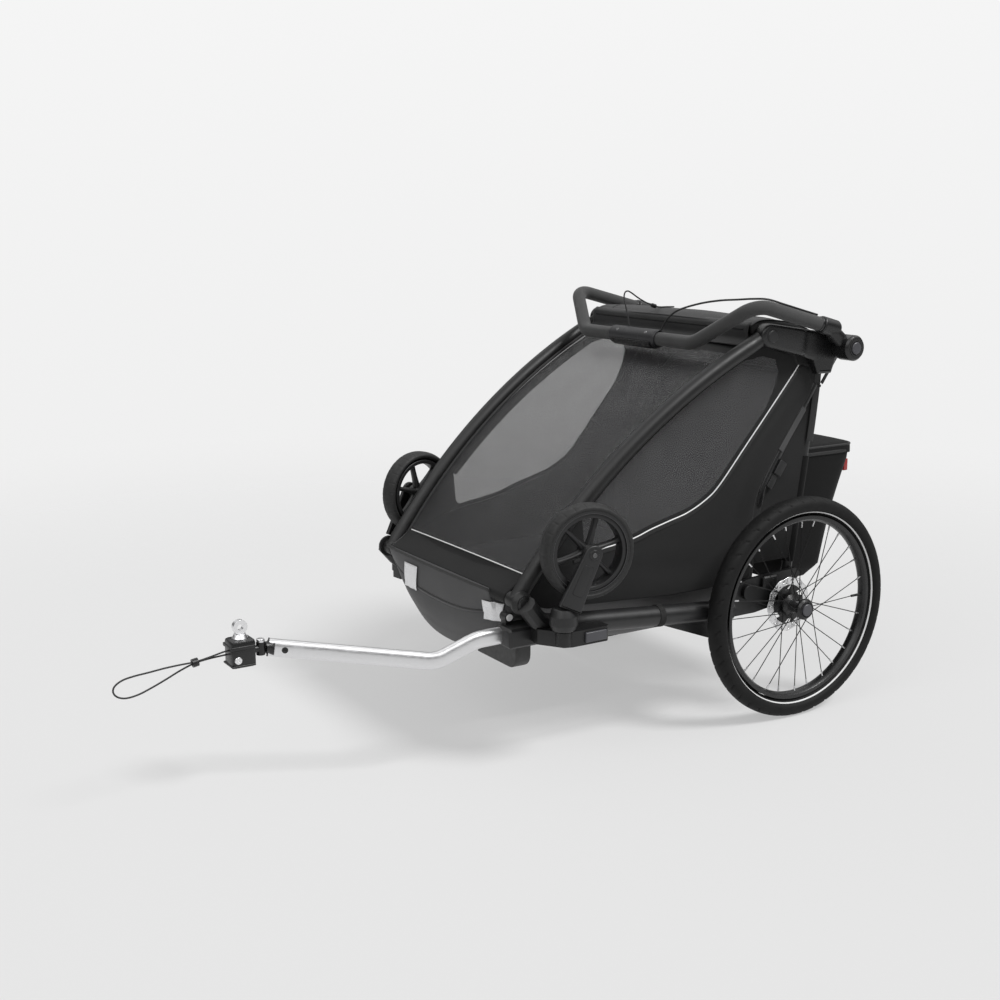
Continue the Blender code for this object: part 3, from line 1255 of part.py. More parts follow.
def receiver_pad():
    """The rounded bumper under the receiver; its upper edge follows the tub's underside."""
    top = receiver_box()[0][2] - GAP
    low, rear_y = top - PAD_HEIGHT, PAD_FRONT_Y + PAD_THICKNESS
    outline = arc((PAD_OUTER_X - PAD_CORNER, low + PAD_CORNER), PAD_CORNER, -90, 0, 5)
    outline += [(PAD_OUTER_X, top)]
    for x in np.linspace(PAD_OUTER_X, PAD_INNER_X, 12)[1:]:
        height = hull_height(x, rear_y) - 3 * GAP
        if height < top:
            outline.append((x, height))
    outline.append((PAD_INNER_X, low))
    bm = bmesh.new()
    face = bm.faces.new([bm.verts.new((x, PAD_FRONT_Y, z)) for x, z in outline])
    raised = bmesh.ops.extrude_face_region(bm, geom=[face])["geom"]
    bmesh.ops.translate(bm, verts=[v for v in raised if isinstance(v, bmesh.types.BMVert)],
                        vec=(0, PAD_THICKNESS, 0))
    node(mesh_object("receiver_pad", bm), "chassis", BLACK_RUBBER)


def arm_route():
    return rounded([
        (RECEIVER_X, -0.664, RECEIVER_Z), (RECEIVER_X, -0.775, RECEIVER_Z),
        (RECEIVER_X - 0.015, -0.862, 0.240), (ARM_END_X, ARM_END_Y, ARM_END_Z),
    ], ARM_CORNER, 5)


def hitch_arm():
    tube = meshed(pipe("hitch_arm", arm_route(), 0, section=(ARM_TUBE_HALF_WIDTH, ARM_TUBE_HALF_HEIGHT)))
    node(tube, "chassis", SILVER)


def arm_cap():
    """The plug in the end of the hitch arm, with the nose that the coupling's barrel turns against."""
    end = Vector((ARM_END_X, ARM_END_Y, ARM_END_Z))
    ahead = (end - Vector(arm_route()[-2])).normalized()
    seat = Vector((ARM_END_X, COUPLING_PIVOT_Y + BARREL_PIN_RADIUS + GAP, COUPLING_Z))
    start = Vector((ARM_END_X, ARM_END_Y - CAP_LENGTH / 2, COUPLING_Z))
    cap = rod("arm_cap", end + ahead * GAP, end + ahead * CAP_LENGTH, CAP_RADIUS, 16, CAP_RADIUS * 0.85)
    nose = rod("arm_cap_nose", start, seat, CAP_RADIUS * 0.7, 16)
    node(join(cap, nose), "chassis", BLACK_PLASTIC)


def coupling_body():
    """The black coupling block, with the rod and upright barrel on which it swings at the hitch arm's cap."""
    half = Vector((COUPLING_WIDTH / 2, COUPLING_LENGTH / 2, COUPLING_HEIGHT / 2))
    middle = Vector((ARM_END_X, COUPLING_Y, COUPLING_Z))
    body = block("coupling_body", middle - half, middle + half, 0.007, 2)
    pivot = Vector((ARM_END_X, COUPLING_PIVOT_Y, COUPLING_Z))
    link = rod("coupling_body_rod", pivot, middle, 0.0075, 12)
    rise = Vector((0, 0, BARREL_PIN_HEIGHT / 2))
    barrel = rod("coupling_body_barrel", pivot - rise, pivot + rise, BARREL_PIN_RADIUS, 16)
    node(join(body, link, barrel), "coupling", BLACK_PLASTIC)


def coupling_eye():
    """The silver eye that the bike's axle holds, on its round seat above the block."""
    seat_z = COUPLING_Z + COUPLING_HEIGHT / 2 + GAP
    eye_z = seat_z + EYE_RISE
    x, y = ARM_END_X, COUPLING_Y
    seat = rod("coupling_eye", (x, y, seat_z), (x, y, seat_z + 0.008), 0.016, 20, 0.012)
    ring = rod("coupling_eye_ring", (x - EYE_WIDTH / 2, y, eye_z), (x + EYE_WIDTH / 2, y, eye_z), EYE_RADIUS, 20)
    hole = rod("coupling_eye_hole", (x - EYE_WIDTH, y, eye_z), (x + EYE_WIDTH, y, eye_z), EYE_HOLE_RADIUS, 16)
    node(cut(join(seat, ring), hole), "coupling_eye", SILVER)


def receiver_button():
    """The white lock button in the turret's end; it is pressed in along X."""
    outer = TURRET_END_X + BUTTON_RISE
    obj = rod("receiver_button", (outer - BUTTON_LENGTH, TURRET_Y, TURRET_Z), (outer, TURRET_Y, TURRET_Z),
              BUTTON_RADIUS, 16)
    node(obj, "receiver_button", WHITE_PLASTIC)


def leash():
    route = smooth_route(LEASH_ROUTE, 0.016)
    node(pipe("leash", route, LEASH_RADIUS, 1), "coupling", BLACK_RUBBER)


def cord_lock(name, route, at, body, bore, radius):
    """A short round cord lock that a cord runs through."""
    ahead = (Vector(route[at + 1]) - Vector(route[at - 1])).normalized()
    middle = Vector(route[at])
    lock = rod(name, middle - ahead * LOCK_LENGTH / 2, middle + ahead * LOCK_LENGTH / 2, radius, 12)
    hole = rod(name + "_bore", middle - ahead * LOCK_LENGTH, middle + ahead * LOCK_LENGTH, bore, 12)
    node(cut(lock, hole), body, BLACK_PLASTIC)


def leash_lock():
    middle = (Vector(LEASH_ROUTE[LOCK_AT]) + Vector(LEASH_ROUTE[-1 - LOCK_AT])) / 2
    before = (Vector(LEASH_ROUTE[LOCK_AT - 1]) + Vector(LEASH_ROUTE[-LOCK_AT])) / 2
    after = (Vector(LEASH_ROUTE[LOCK_AT + 1]) + Vector(LEASH_ROUTE[-2 - LOCK_AT])) / 2
    cord_lock("leash_lock", [before, middle, after], 1, "coupling", LOCK_BORE, LOCK_RADIUS)


def strap_lock():
    cord_lock("strap_lock", WRIST_STRAP_ROUTE, 9, "handlebar", LEASH_RADIUS + 2 * SLIDE_GAP, 0.005)


def build():
    for side in (LEFT, RIGHT):
        side_tube(side)
        rear_corner(side)
        front_corner(side)
        caster_release(side)
        swing_arm(side)
        rear_tyre(side)
        wheel_lacing(side)
        brake_rotor(side)
        wheel_button(side)
        caster_fork(side)
        caster_tyre(side)
        caster_rim(side)
        top_arm(side)
        side_window(side)
        side_fabric(side)
        bar_hub(side)
        fold_button(side)
    cross_tube()
    front_bar()
    floor_tub()
    bench_cushion()
    front_tube()
    front_cover()
    roof()
    back_tube()
    seat_back()
    cargo_bag()
    bag_flap()
    handlebar()
    brake_housing()
    brake_lever()
    brake_cable()
    wrist_strap()
    strap_lock()
    hitch_receiver()
    receiver_pad()
    receiver_button()
    hitch_arm()
    arm_cap()
    coupling_body()
    coupling_eye()
    leash()
    leash_lock()


clear_scene()
PARTS = new_collection(MODEL)
CUTTERS = new_collection("cutters", helper=True)
EMPTIES = body_empties(PARTS)
build()
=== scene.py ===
# %% [markdown]
# # A double bike trailer
# The trailer has a folding cabin for two children on two spoked wheels. Two casters are stowed at its
# front corners, and a bent alloy arm reaches forward to the bicycle's axle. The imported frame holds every
# joint and every solid. This lesson gives each of them a fine surface and a finish, in the frame's place.

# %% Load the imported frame
import json
import math
import mathutils.bvhtree

import bmesh
import bpy
import numpy as np
from mathutils import Matrix


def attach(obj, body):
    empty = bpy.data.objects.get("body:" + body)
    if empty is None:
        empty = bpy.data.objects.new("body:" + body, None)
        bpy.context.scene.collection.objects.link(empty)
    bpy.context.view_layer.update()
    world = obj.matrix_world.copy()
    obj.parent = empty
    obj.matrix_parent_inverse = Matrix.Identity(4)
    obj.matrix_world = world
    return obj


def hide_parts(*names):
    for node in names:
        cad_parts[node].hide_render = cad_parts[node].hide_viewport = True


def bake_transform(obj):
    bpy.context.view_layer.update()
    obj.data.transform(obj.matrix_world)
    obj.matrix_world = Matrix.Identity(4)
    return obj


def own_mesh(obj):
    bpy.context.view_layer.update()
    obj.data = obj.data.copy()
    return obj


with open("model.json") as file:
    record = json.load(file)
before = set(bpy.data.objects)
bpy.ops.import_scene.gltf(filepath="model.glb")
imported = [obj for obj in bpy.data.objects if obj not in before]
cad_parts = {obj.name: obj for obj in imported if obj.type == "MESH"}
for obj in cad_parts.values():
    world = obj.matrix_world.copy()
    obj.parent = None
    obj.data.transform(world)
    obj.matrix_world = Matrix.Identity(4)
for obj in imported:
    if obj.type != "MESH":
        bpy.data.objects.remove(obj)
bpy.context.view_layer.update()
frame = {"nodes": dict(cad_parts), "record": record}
BODY_OF = {node: body for body, nodes in frame["record"]["behaviour"]["bodies"].items() for node in nodes}

# %% [markdown]
# ## Where things are
# All lengths are metres. X points to the trailer's left, Y to its rear and Z up. The rear axle lies
# 0.49 m behind the origin, so places that belong to the wheels are written from there.

# %% Main places
SIDES = {1: "left", -1: "right"}
AXLE_Y = 0.490
WHEEL_X = 0.350
TYRE_RADIUS = 0.2525
KNOB = np.array((-0.210, 0.353))
KNUCKLE = np.array((0.410, 0.862))
BAR_HUB = np.array((0.620, 0.828))
print("wheelbase from knob to axle:", round(AXLE_Y - KNOB[0], 3), "m")

# %% [markdown]
# ## The camera
# A 50 mm lens stands at the trailer's front left, a little above it. Its place comes from matching the
# wheels, the frame and the arm to the view that the trailer is shown in.

# %% Camera
camera = bpy.data.objects.new("view_camera", bpy.data.cameras.new("view_camera"))
camera.data.lens = 50.0
camera.data.sensor_width = 36.0
camera.location = (2.5498, -1.6729, 1.1279)
camera.rotation_euler = (math.radians(90 - 11.813), 0, math.radians(58.0083))
bpy.context.scene.collection.objects.link(camera)
bpy.context.scene.camera = camera
print("camera stands at", tuple(round(v, 2) for v in camera.location))

# %% [markdown]
# ## Light and background
# The studio is a pale sweep. Camera, mirror and see-through rays see a soft grey gradient, while other
# rays see an even dome, which lights the trailer. Two wide suns add the soft highlights: a sun's light
# doesn't fall off, so the floor stays even, and its edge can fade into the gradient without a line.

# %% World, suns and floor
SKY_HEIGHTS = (-0.55, -0.20, 0.0, 0.14)
SKY_TONES = (0.815, 0.863, 0.890, 0.914)
DOME_STRENGTH = 0.32
REFLECTED = ((-0.30, 0.75), (-0.02, 0.55), (0.02, 0.10), (0.30, 0.13), (0.52, 0.95), (0.75, 1.35), (1.0, 0.55))


def add_node(tree, kind, sockets=None, **settings):
    """A shader node of a kind. settings are its own, and sockets gives each input a number, a colour or
    the output that feeds it."""
    node = tree.nodes.new("ShaderNode" + kind)
    for name, value in settings.items():
        setattr(node, name, value)
    for socket, value in (sockets or {}).items():
        if hasattr(value, "is_output"):
            tree.links.new(value, node.inputs[socket])
        else:
            node.inputs[socket].default_value = value
    return node


def colour_ramp(tree, value, stops):
    """Colours along a ramp of (position, colour) that a value drives."""
    ramp = add_node(tree, "ValToRGB", {"Fac": value})
    for _ in stops[2:]:
        ramp.color_ramp.elements.new(0.5)
    for element, (position, colour) in zip(ramp.color_ramp.elements, stops):
        element.position = position
        element.color = (*colour, 1)
    return ramp.outputs["Color"]


world = bpy.data.worlds.new("studio")
bpy.context.scene.world = world
world.use_nodes = True
tree = world.node_tree
tree.nodes.clear()
split = add_node(tree, "SeparateXYZ", {0: add_node(tree, "TexCoord").outputs["Generated"]})
low, high = SKY_HEIGHTS[0], SKY_HEIGHTS[-1]
spread = add_node(tree, "MapRange", {"From Min": low, "From Max": high, "Value": split.outputs["Z"]})
sky = colour_ramp(tree, spread.outputs["Result"],
                  [((h - low) / (high - low), (tone, tone, tone)) for h, tone in zip(SKY_HEIGHTS, SKY_TONES)])
rays = add_node(tree, "LightPath").outputs
seen = add_node(tree, "Math", {0: rays["Is Camera Ray"], 1: rays["Is Transmission Ray"]}, operation="MAXIMUM")
dome = add_node(tree, "Background", {"Color": (1, 1, 1, 1), "Strength": DOME_STRENGTH})
shown = add_node(tree, "Background", {"Color": sky})
either = add_node(tree, "MixShader", {"Fac": seen.outputs[0], 1: dome.outputs[0], 2: shown.outputs[0]})
height = add_node(tree, "MapRange", {"From Min": -1.0, "Value": split.outputs["Z"]})
boxes = colour_ramp(tree, height.outputs["Result"], [((z + 1) / 2, (tone, tone, tone)) for z, tone in REFLECTED])
mirrored = add_node(tree, "Background", {"Color": boxes})
last = add_node(tree, "MixShader", {"Fac": rays["Is Glossy Ray"], 1: either.outputs[0], 2: mirrored.outputs[0]})
add_node(tree, "OutputWorld", {"Surface": last.outputs[0]})
bpy.context.scene.view_settings.view_transform = "Standard"


def sun(name, strength, angle, tilt, turn):
    """A sun lamp: tilt is its lean from straight down, turn its heading, both in degrees."""
    lamp = bpy.data.lights.new(name, "SUN")
    lamp.energy = strength
    lamp.angle = math.radians(angle)
    obj = bpy.data.objects.new(name, lamp)
    obj.rotation_euler = (math.radians(tilt), 0, math.radians(turn))
    bpy.context.scene.collection.objects.link(obj)


sun("key_sun", 2.15, 18, 37, 123)
sun("front_sun", 0.55, 50, 50, 24)
print("dome", DOME_STRENGTH, "and two suns")

# %% [markdown]
# The floor is a disc. Its tone is chosen so that, lit by the dome and the suns, it renders like the
# gradient behind it, and a radial fade to clear hides its rim. Only the soft shadow is left to see.

# %% Floor
FLOOR_TONE = 0.385
FLOOR_GLOW = 0.42
FLOOR_SOLID, FLOOR_RIM = 1.3, 4.2


def shader_tree(name):
    """A new material with an empty node tree and its output."""
    made = bpy.data.materials.new(name)
    made.use_nodes = True
    made.node_tree.nodes.clear()
    return made, made.node_tree, made.node_tree.nodes.new("ShaderNodeOutputMaterial")


floor_look, tree, output = shader_tree("studio_floor")
away = add_node(tree, "VectorMath", {0: add_node(tree, "TexCoord").outputs["Object"]}, operation="LENGTH")
fade = add_node(tree, "MapRange", {"From Min": FLOOR_SOLID, "From Max": FLOOR_RIM, "Value": away.outputs["Value"]},
                interpolation_type="SMOOTHSTEP")
matt = add_node(tree, "BsdfDiffuse", {"Color": (FLOOR_TONE, FLOOR_TONE, FLOOR_TONE, 1)})
glow = add_node(tree, "Emission", {"Strength": FLOOR_GLOW})
lit = add_node(tree, "AddShader", {0: matt.outputs[0], 1: glow.outputs[0]})
through = add_node(tree, "BsdfTransparent")
both = add_node(tree, "MixShader", {"Fac": fade.outputs["Result"], 1: lit.outputs[0], 2: through.outputs[0]})
tree.links.new(both.outputs[0], output.inputs["Surface"])

floor_mesh = bpy.data.meshes.new("studio_floor")
turn = np.linspace(0, 2 * np.pi, 96, endpoint=False)
rim = np.stack([FLOOR_RIM * np.cos(turn), FLOOR_RIM * np.sin(turn), 0 * turn - 0.0005], -1)
floor_mesh.from_pydata(rim.tolist(), [], [list(range(len(rim)))])
floor = bpy.data.objects.new("studio_floor", floor_mesh)
floor.data.materials.append(floor_look)
bpy.context.scene.collection.objects.link(floor)
print("floor disc", FLOOR_RIM, "m in radius")

# %% [markdown]
# ## Surfaces from arrays
# Most pieces here are a grid of points: rows run one way over the surface and columns the other. The
# grid is worked out as one array, the faces are made from its indices, and the UV map is laid out in
# metres, so that a weave keeps its scale whatever the piece's size.

# %% Grids into meshes
def unit(vectors):
    """Each vector divided by its length."""
    return vectors / np.linalg.norm(vectors, axis=-1, keepdims=True)


def signed_power(value, exponent):
    """A power that keeps the sign: on a circle's sine and cosine it gives a superellipse."""
    return np.sign(value) * np.abs(value) ** exponent


def spans(points, axis, closed):
    """Mean running length along one direction of a grid, from its first line to its last."""
    after = np.roll(points, -1, axis=axis)
    step = np.linalg.norm(after - points, axis=-1).mean(axis=1 - axis)
    steps = step if closed else step[:-1]
    return np.concatenate([[0.0], np.cumsum(steps)])


def grid_object(name, points, close_rows=False, close_columns=False, caps=False, outward=None):
    """A mesh over a (rows, columns, 3) grid; caps close its first and last rows, and outward is a
    direction that an open sheet faces on the whole."""
    rows, columns = points.shape[:2]
    i = np.arange(rows - (not close_rows))[:, None]
    j = np.arange(columns - (not close_columns))[None, :]
    corners = [(i, j), (i, j + 1), (i + 1, j + 1), (i + 1, j)]
    quads = np.stack([(a % rows) * columns + b % columns for a, b in corners], -1).reshape(-1, 4)
    u, v = spans(points, 0, close_rows), spans(points, 1, close_columns)
    uv = np.stack([np.stack(np.broadcast_arrays(u[a], v[b]), -1) for a, b in corners], -2).reshape(-1, 2)
    faces = quads.tolist()
    if caps:
        ring = np.arange(columns)
        faces += [ring[::-1].tolist(), (ring + (rows - 1) * columns).tolist()]
        uv = np.concatenate([uv, np.zeros((2 * columns, 2))])
    mesh = bpy.data.meshes.new(name)
    mesh.from_pydata(points.reshape(-1, 3).tolist(), [], faces)
    mesh.uv_layers.new(name="metres").data.foreach_set("uv", uv.astype(np.float32).ravel())
    return settled(bpy.data.objects.new(name, mesh), outward)


def settled(obj, outward=None):
    """Doubles merged and faces turned outwards, or towards a given direction on an open sheet."""
    bm = bmesh.new()
    bm.from_mesh(obj.data)
    bmesh.ops.remove_doubles(bm, verts=bm.verts, dist=0.00001)
    bmesh.ops.recalc_face_normals(bm, faces=bm.faces)
    if outward is not None:
        facing = sum((face.normal * face.calc_area() for face in bm.faces), bm.faces[:1][0].normal * 0)
        if facing.dot(outward) < 0:
            bmesh.ops.reverse_faces(bm, faces=bm.faces)
    bm.to_mesh(obj.data)
    bm.free()
    return obj


def points_of(obj):
    """A mesh's points as an (n, 3) array."""
    return np.array([v.co for v in obj.data.vertices])


def moved(obj, points):
    """A mesh with its points put in new places."""
    obj.data.vertices.foreach_set("co", points.astype(np.float32).ravel())
    return settled(obj)


def joined(name, objects):
    """Several meshes as one object, with their UV maps kept."""
    bm = bmesh.new()
    for obj in objects:
        bm.from_mesh(obj.data)
        bpy.data.objects.remove(obj, do_unlink=True)
    mesh = bpy.data.meshes.new(name)
    bm.to_mesh(mesh)
    bm.free()
    return bpy.data.objects.new(name, mesh)


def add_wall(obj, thickness, offset=0.0):
    """Gives a sheet its thickness."""
    wall = obj.modifiers.new("Wall", "SOLIDIFY")
    wall.thickness = thickness
    wall.offset = offset
    return obj


def add_bevel(obj, width, segments=2, angle=30):
    """Rounds the edges that turn more than an angle in degrees."""
    bevel = obj.modifiers.new("Edge", "BEVEL")
    bevel.width = width
    bevel.segments = segments
    bevel.limit_method = "ANGLE"
    bevel.angle_limit = math.radians(angle)
    bevel.use_clamp_overlap = True
    return obj


def add_piece(obj, body, slot, look, *nodes, angle=40):
    """Shows a finished piece: its look, its moving body and the nodes that it stands for; slot is not used."""
    bpy.context.scene.collection.objects.link(obj)
    if obj.type == "MESH":
        obj.data.shade_smooth()
        obj.data.set_sharp_from_angle(angle=math.radians(angle))
    obj.data.materials.clear()
    obj.data.materials.append(look)
    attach(obj, body)
    if nodes:
        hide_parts(*nodes)
    return obj


print("grid helpers ready")

# %% [markdown]
# Tubes, cords and grips are a ring of points carried along a path. Wheels and barrels are a profile
# turned about an axis. Plates are an outline given a thickness with rounded edges. These three makers
# cover most of the trailer's hard parts.

# %% Sweeps, turned shapes and plates
def second_finish(obj, look, chosen):
    """A second material on the faces whose centres are chosen by a function of an (n, 3) array."""
    centres = np.zeros(len(obj.data.polygons) * 3, np.float32)
    obj.data.polygons.foreach_get("center", centres)
    obj.data.materials.append(look)
    obj.data.polygons.foreach_set("material_index", chosen(centres.reshape(-1, 3)).astype(np.int32))
    return obj


def ellipse(half_width, half_height, sides=24):
    """Points of an ellipse, as (side, rise)."""
    angle = np.linspace(0, 2 * np.pi, sides, endpoint=False)
    return np.stack([half_width * np.cos(angle), half_height * np.sin(angle)], -1)


def smooth_path(points, spacing):
    """Points along a Catmull-Rom curve through the given ones, about one every spacing."""
    points = np.asarray(points, float)
    ends = np.concatenate([[2 * points[0] - points[1]], points, [2 * points[-1] - points[-2]]])
    made = []
    for a, b, c, d in zip(ends, ends[1:], ends[2:], ends[3:]):
        t = np.linspace(0, 1, max(1, round(np.linalg.norm(c - b) / spacing)), endpoint=False)[:, None]
        made.append(0.5 * (2 * b + (c - a) * t + (2 * a - 5 * b + 4 * c - d) * t ** 2
                           + (3 * b - a - 3 * c + d) * t ** 3))
    return np.concatenate(made + [points[-1:]])


def bent_path(corners, radius, steps=12):
    """A polyline whose inner corners are arcs of the given bend radius."""
    corners = np.asarray(corners, float)
    made = [corners[:1]]
    for before, corner, after in zip(corners, corners[1:], corners[2:]):
        back, ahead = unit(before - corner), unit(after - corner)
        half = math.acos(float(back @ ahead)) / 2
        reach = min(radius / math.tan(half), 0.48 * np.linalg.norm(corner - before),
                    0.48 * np.linalg.norm(after - corner))
        centre = corner + unit(back + ahead) * reach / math.cos(half)
        start, end = corner + back * reach - centre, corner + ahead * reach - centre
        sweep = math.acos(float(unit(start) @ unit(end)))
        share = np.linspace(0, 1, steps + 1)[:, None]
        made.append(centre + (np.sin((1 - share) * sweep) * start + np.sin(share * sweep) * end) / math.sin(sweep))
    return np.concatenate(made + [corners[-1:]])


def running_length(path):
    """Length along a polyline up to each of its points."""
    return np.concatenate([[0.0], np.cumsum(np.linalg.norm(np.diff(path, axis=0), axis=1))])


def resampled(path, spacing=None, count=None):
    """Points at even steps along a polyline: one about every spacing, or a given count of them."""
    path = np.asarray(path, float)
    along = running_length(path)
    at = np.linspace(0, along[-1], count or max(2, round(along[-1] / spacing) + 1))
    return np.stack([np.interp(at, along, path[:, k]) for k in range(path.shape[1])], -1)


def sweep(name, path, ring, up=(0, 0, 1), caps=True, close=False):
    """A ring of (side, rise) points carried along a path: side is the path's direction crossed with up.
    The ring may change along the path, as one ring for each of its points."""
    path = np.asarray(path, float)
    ahead = unit(np.roll(path, -1, 0) - np.roll(path, 1, 0) if close else np.gradient(path, axis=0))
    side = unit(np.cross(ahead, np.asarray(up, float)))
    rise = np.cross(side, ahead)
    ring = np.broadcast_to(ring, (len(path),) + np.shape(ring)[-2:])
    points = path[:, None] + ring[..., :1] * side[:, None] + ring[..., 1:] * rise[:, None]
    return grid_object(name, points, close_rows=close, close_columns=True, caps=caps and not close)


def axes_across(axis):
    """Two directions square to an axis and to each other."""
    axis = unit(np.asarray(axis, float))
    first = unit(np.cross(axis, (0.0, 0.0, 1.0) if abs(axis[2]) < 0.9 else (0.0, 1.0, 0.0)))
    return axis, first, np.cross(axis, first)


def turned(name, profile, centre, axis, steps=64, shift=None, closed=None):
    """A profile of (radius, offset) points turned about an axis. shift adds (radius, offset) per
    (step, point), for treads and ribs."""
    axis, first, second = axes_across(axis)
    profile = np.asarray(profile, float)
    turn = np.linspace(0, 2 * np.pi, steps, endpoint=False)
    radius = np.broadcast_to(profile[:, 0], (steps, len(profile)))
    offset = np.broadcast_to(profile[:, 1], (steps, len(profile)))
    if shift is not None:
        radius, offset = radius + shift[0], offset + shift[1]
    around = np.cos(turn)[:, None, None] * first + np.sin(turn)[:, None, None] * second
    points = np.asarray(centre) + radius[..., None] * around + offset[..., None] * axis
    if closed is None:
        closed = profile[0, 0] > 1e-6 and profile[-1, 0] > 1e-6
    return grid_object(name, points, close_rows=True, close_columns=closed)


def softened(profile, radius, steps=4):
    """A closed or open profile with its corners rounded."""
    profile = np.asarray(profile, float)
    if profile[0, 0] > 1e-6 and profile[-1, 0] > 1e-6:
        loop = np.concatenate([profile[-1:], profile, profile[:1]])
        return bent_path(loop, radius, steps)[1:-1]
    return bent_path(profile, radius, steps)


def plate(name, outline, low, high, edge, steps=4, spacing=0.003):
    """An outline of (y, z) points given a thickness along X between low and high, with round edges: each
    ring of the edge is the outline drawn in by edge times one minus the cosine of its turn."""
    loop = resampled(np.concatenate([outline, outline[:1]]), spacing)[:-1]
    ahead = unit(np.roll(loop, -1, 0) - np.roll(loop, 1, 0))
    out = np.stack([ahead[:, 1], -ahead[:, 0]], -1)
    area = np.sum(loop[:, 0] * np.roll(loop[:, 1], -1) - np.roll(loop[:, 0], -1) * loop[:, 1])
    out = out * np.sign(area)
    turn = np.linspace(0, np.pi / 2, steps + 1)
    inset = np.concatenate([edge * (1 - np.sin(turn)), edge * (1 - np.cos(turn))])
    x = np.concatenate([low + edge * (1 - np.cos(turn)), high - edge * (1 - np.sin(turn))])
    flat = loop[None] - out[None] * inset[:, None, None]
    points = np.concatenate([np.broadcast_to(x[:, None, None], flat.shape[:2] + (1,)), flat], -1)
    return grid_object(name, points, close_columns=True, caps=True)


def soft_box(name, low, high, radius, segments=4):
    """A box with rounded edges, as a bevelled cube."""
    low, high = np.minimum(low, high), np.maximum(low, high)
    bm = bmesh.new()
    place = Matrix.Translation((low + high) / 2) @ Matrix.Diagonal((*(high - low), 1))
    bmesh.ops.create_cube(bm, size=1, matrix=place)
    bmesh.ops.bevel(bm, geom=bm.edges[:], offset=radius, segments=segments, profile=0.5, affect="EDGES")
    mesh = bpy.data.meshes.new(name)
    bm.to_mesh(mesh)
    bm.free()
    return bpy.data.objects.new(name, mesh)


def refined(node, bevel, segments=3, angle=32):
    """A copy of a node's mesh with its loose triangles merged, its flats cleaned and its edges rounded."""
    made = bpy.data.objects.new(node + "_fine", frame["nodes"][node].data.copy())
    bm = bmesh.new()
    bm.from_mesh(made.data)
    bmesh.ops.remove_doubles(bm, verts=bm.verts, dist=0.00002)
    bmesh.ops.dissolve_limit(bm, angle_limit=math.radians(1), verts=bm.verts, edges=bm.edges)
    bm.to_mesh(made.data)
    bm.free()
    return add_bevel(made, bevel, segments, angle)


def arc(centre, radius, start, end, steps=16):
    """Points of an arc in a plane, angles in degrees."""
    turn = np.radians(np.linspace(start, end, steps + 1))
    return np.stack([centre[0] + radius * np.cos(turn), centre[1] + radius * np.sin(turn)], -1)


print("makers ready")

# %% [markdown]
# ## Finishes
# Nearly everything is black, so the pieces differ by their surface: powder-coated tube, grained plastic,
# rubber, foam, woven fabric and glossy film. Each finish is a small node tree whose pattern comes from
# Object coordinates, or from the UV map in metres where it follows the cloth.

# %% A small hand for node trees
class Look:
    """A material under construction: one Principled shader and the nodes that feed it."""

    def __init__(self, name, colour, roughness, metallic=0.0, **sockets):
        self.made, self.tree, output = shader_tree(name)
        self.colour, self.roughness = colour, roughness
        values = {"Base Color": (*colour, 1), "Roughness": roughness, "Metallic": metallic}
        values.update({socket.replace("_", " ").title(): value for socket, value in sockets.items()})
        self.shader = self.node("BsdfPrincipled", values)
        self.tree.links.new(self.shader.outputs[0], output.inputs["Surface"])
        self.coords = self.node("TexCoord").outputs

    def node(self, kind, sockets=None, **settings):
        return add_node(self.tree, kind, sockets, **settings)

    def feed(self, socket, value):
        """Lets a value drive one of the shader's inputs."""
        self.tree.links.new(value, self.shader.inputs[socket])
        return self

    def math(self, operation, a, b=0.0, c=0.0):
        return self.node("Math", {0: a, 1: b, 2: c}, operation=operation).outputs[0]

    def noise(self, scale, detail=3.0, stretch=None):
        """Noise between 0 and 1; scale is in features per metre."""
        vector = self.coords["Object"]
        if stretch:
            vector = self.node("Mapping", {"Scale": stretch, "Vector": vector}).outputs[0]
        made = self.node("TexNoise", {"Scale": scale, "Detail": detail, "Roughness": 0.5, "Vector": vector})
        return made.outputs["Fac"]

    def cells(self, scale):
        """Distance to the nearest of scattered points, scale points per metre."""
        return self.node("TexVoronoi", {"Scale": scale, "Vector": self.coords["Object"]}).outputs["Distance"]

    def spread(self, value, low, high, to_low=0.0, to_high=1.0):
        """A value's range mapped to another, held at its ends."""
        return self.node("MapRange", {"From Min": low, "From Max": high, "To Min": to_low, "To Max": to_high,
                                      "Value": value}).outputs["Result"]

    def split(self, vector):
        return self.node("SeparateXYZ", {0: vector}).outputs

    def weave(self, pitch):
        """Warp and weft along the UV map: two sine bands, each on top in turn."""
        u, v, _ = self.split(self.coords["UV"])
        warp, weft = (self.math("SINE", self.math("MULTIPLY", run, 2 * math.pi / pitch)) for run in (u, v))
        return self.math("MULTIPLY_ADD", self.math("MULTIPLY", warp, weft), 0.5, 0.5)

    def vary(self, value, colours):
        """Base colour along a ramp of (position, colour) driven by a value."""
        return self.feed("Base Color", colour_ramp(self.tree, value, colours))

    def mottle(self, value, amount):
        """Base colour a little lighter and darker with a value."""
        base = np.array(self.colour)
        return self.vary(value, [(0.25, tuple(base * (1 - amount))), (0.75, tuple(base * (1 + amount)))])

    def polish(self, value, amount):
        """Roughness that wanders about its own value."""
        return self.feed("Roughness", self.spread(value, 0.3, 0.7, self.roughness - amount, self.roughness + amount))

    def relief(self, value, height, strength=1.0):
        """Bump with a height in metres."""
        bump = self.node("Bump", {"Distance": height, "Strength": strength, "Height": value})
        return self.feed("Normal", bump.outputs[0])


def coated_tube(name, tone, roughness):
    """Powder coat: a fine orange peel over the tube, and a slow change of gloss."""
    look = Look(name, (tone, tone, tone * 1.03), roughness)
    look.mottle(look.noise(35, 4), 0.10)
    look.polish(look.noise(60, 3), 0.05)
    return look.relief(look.noise(1400, 2), 0.00012, 0.35).made


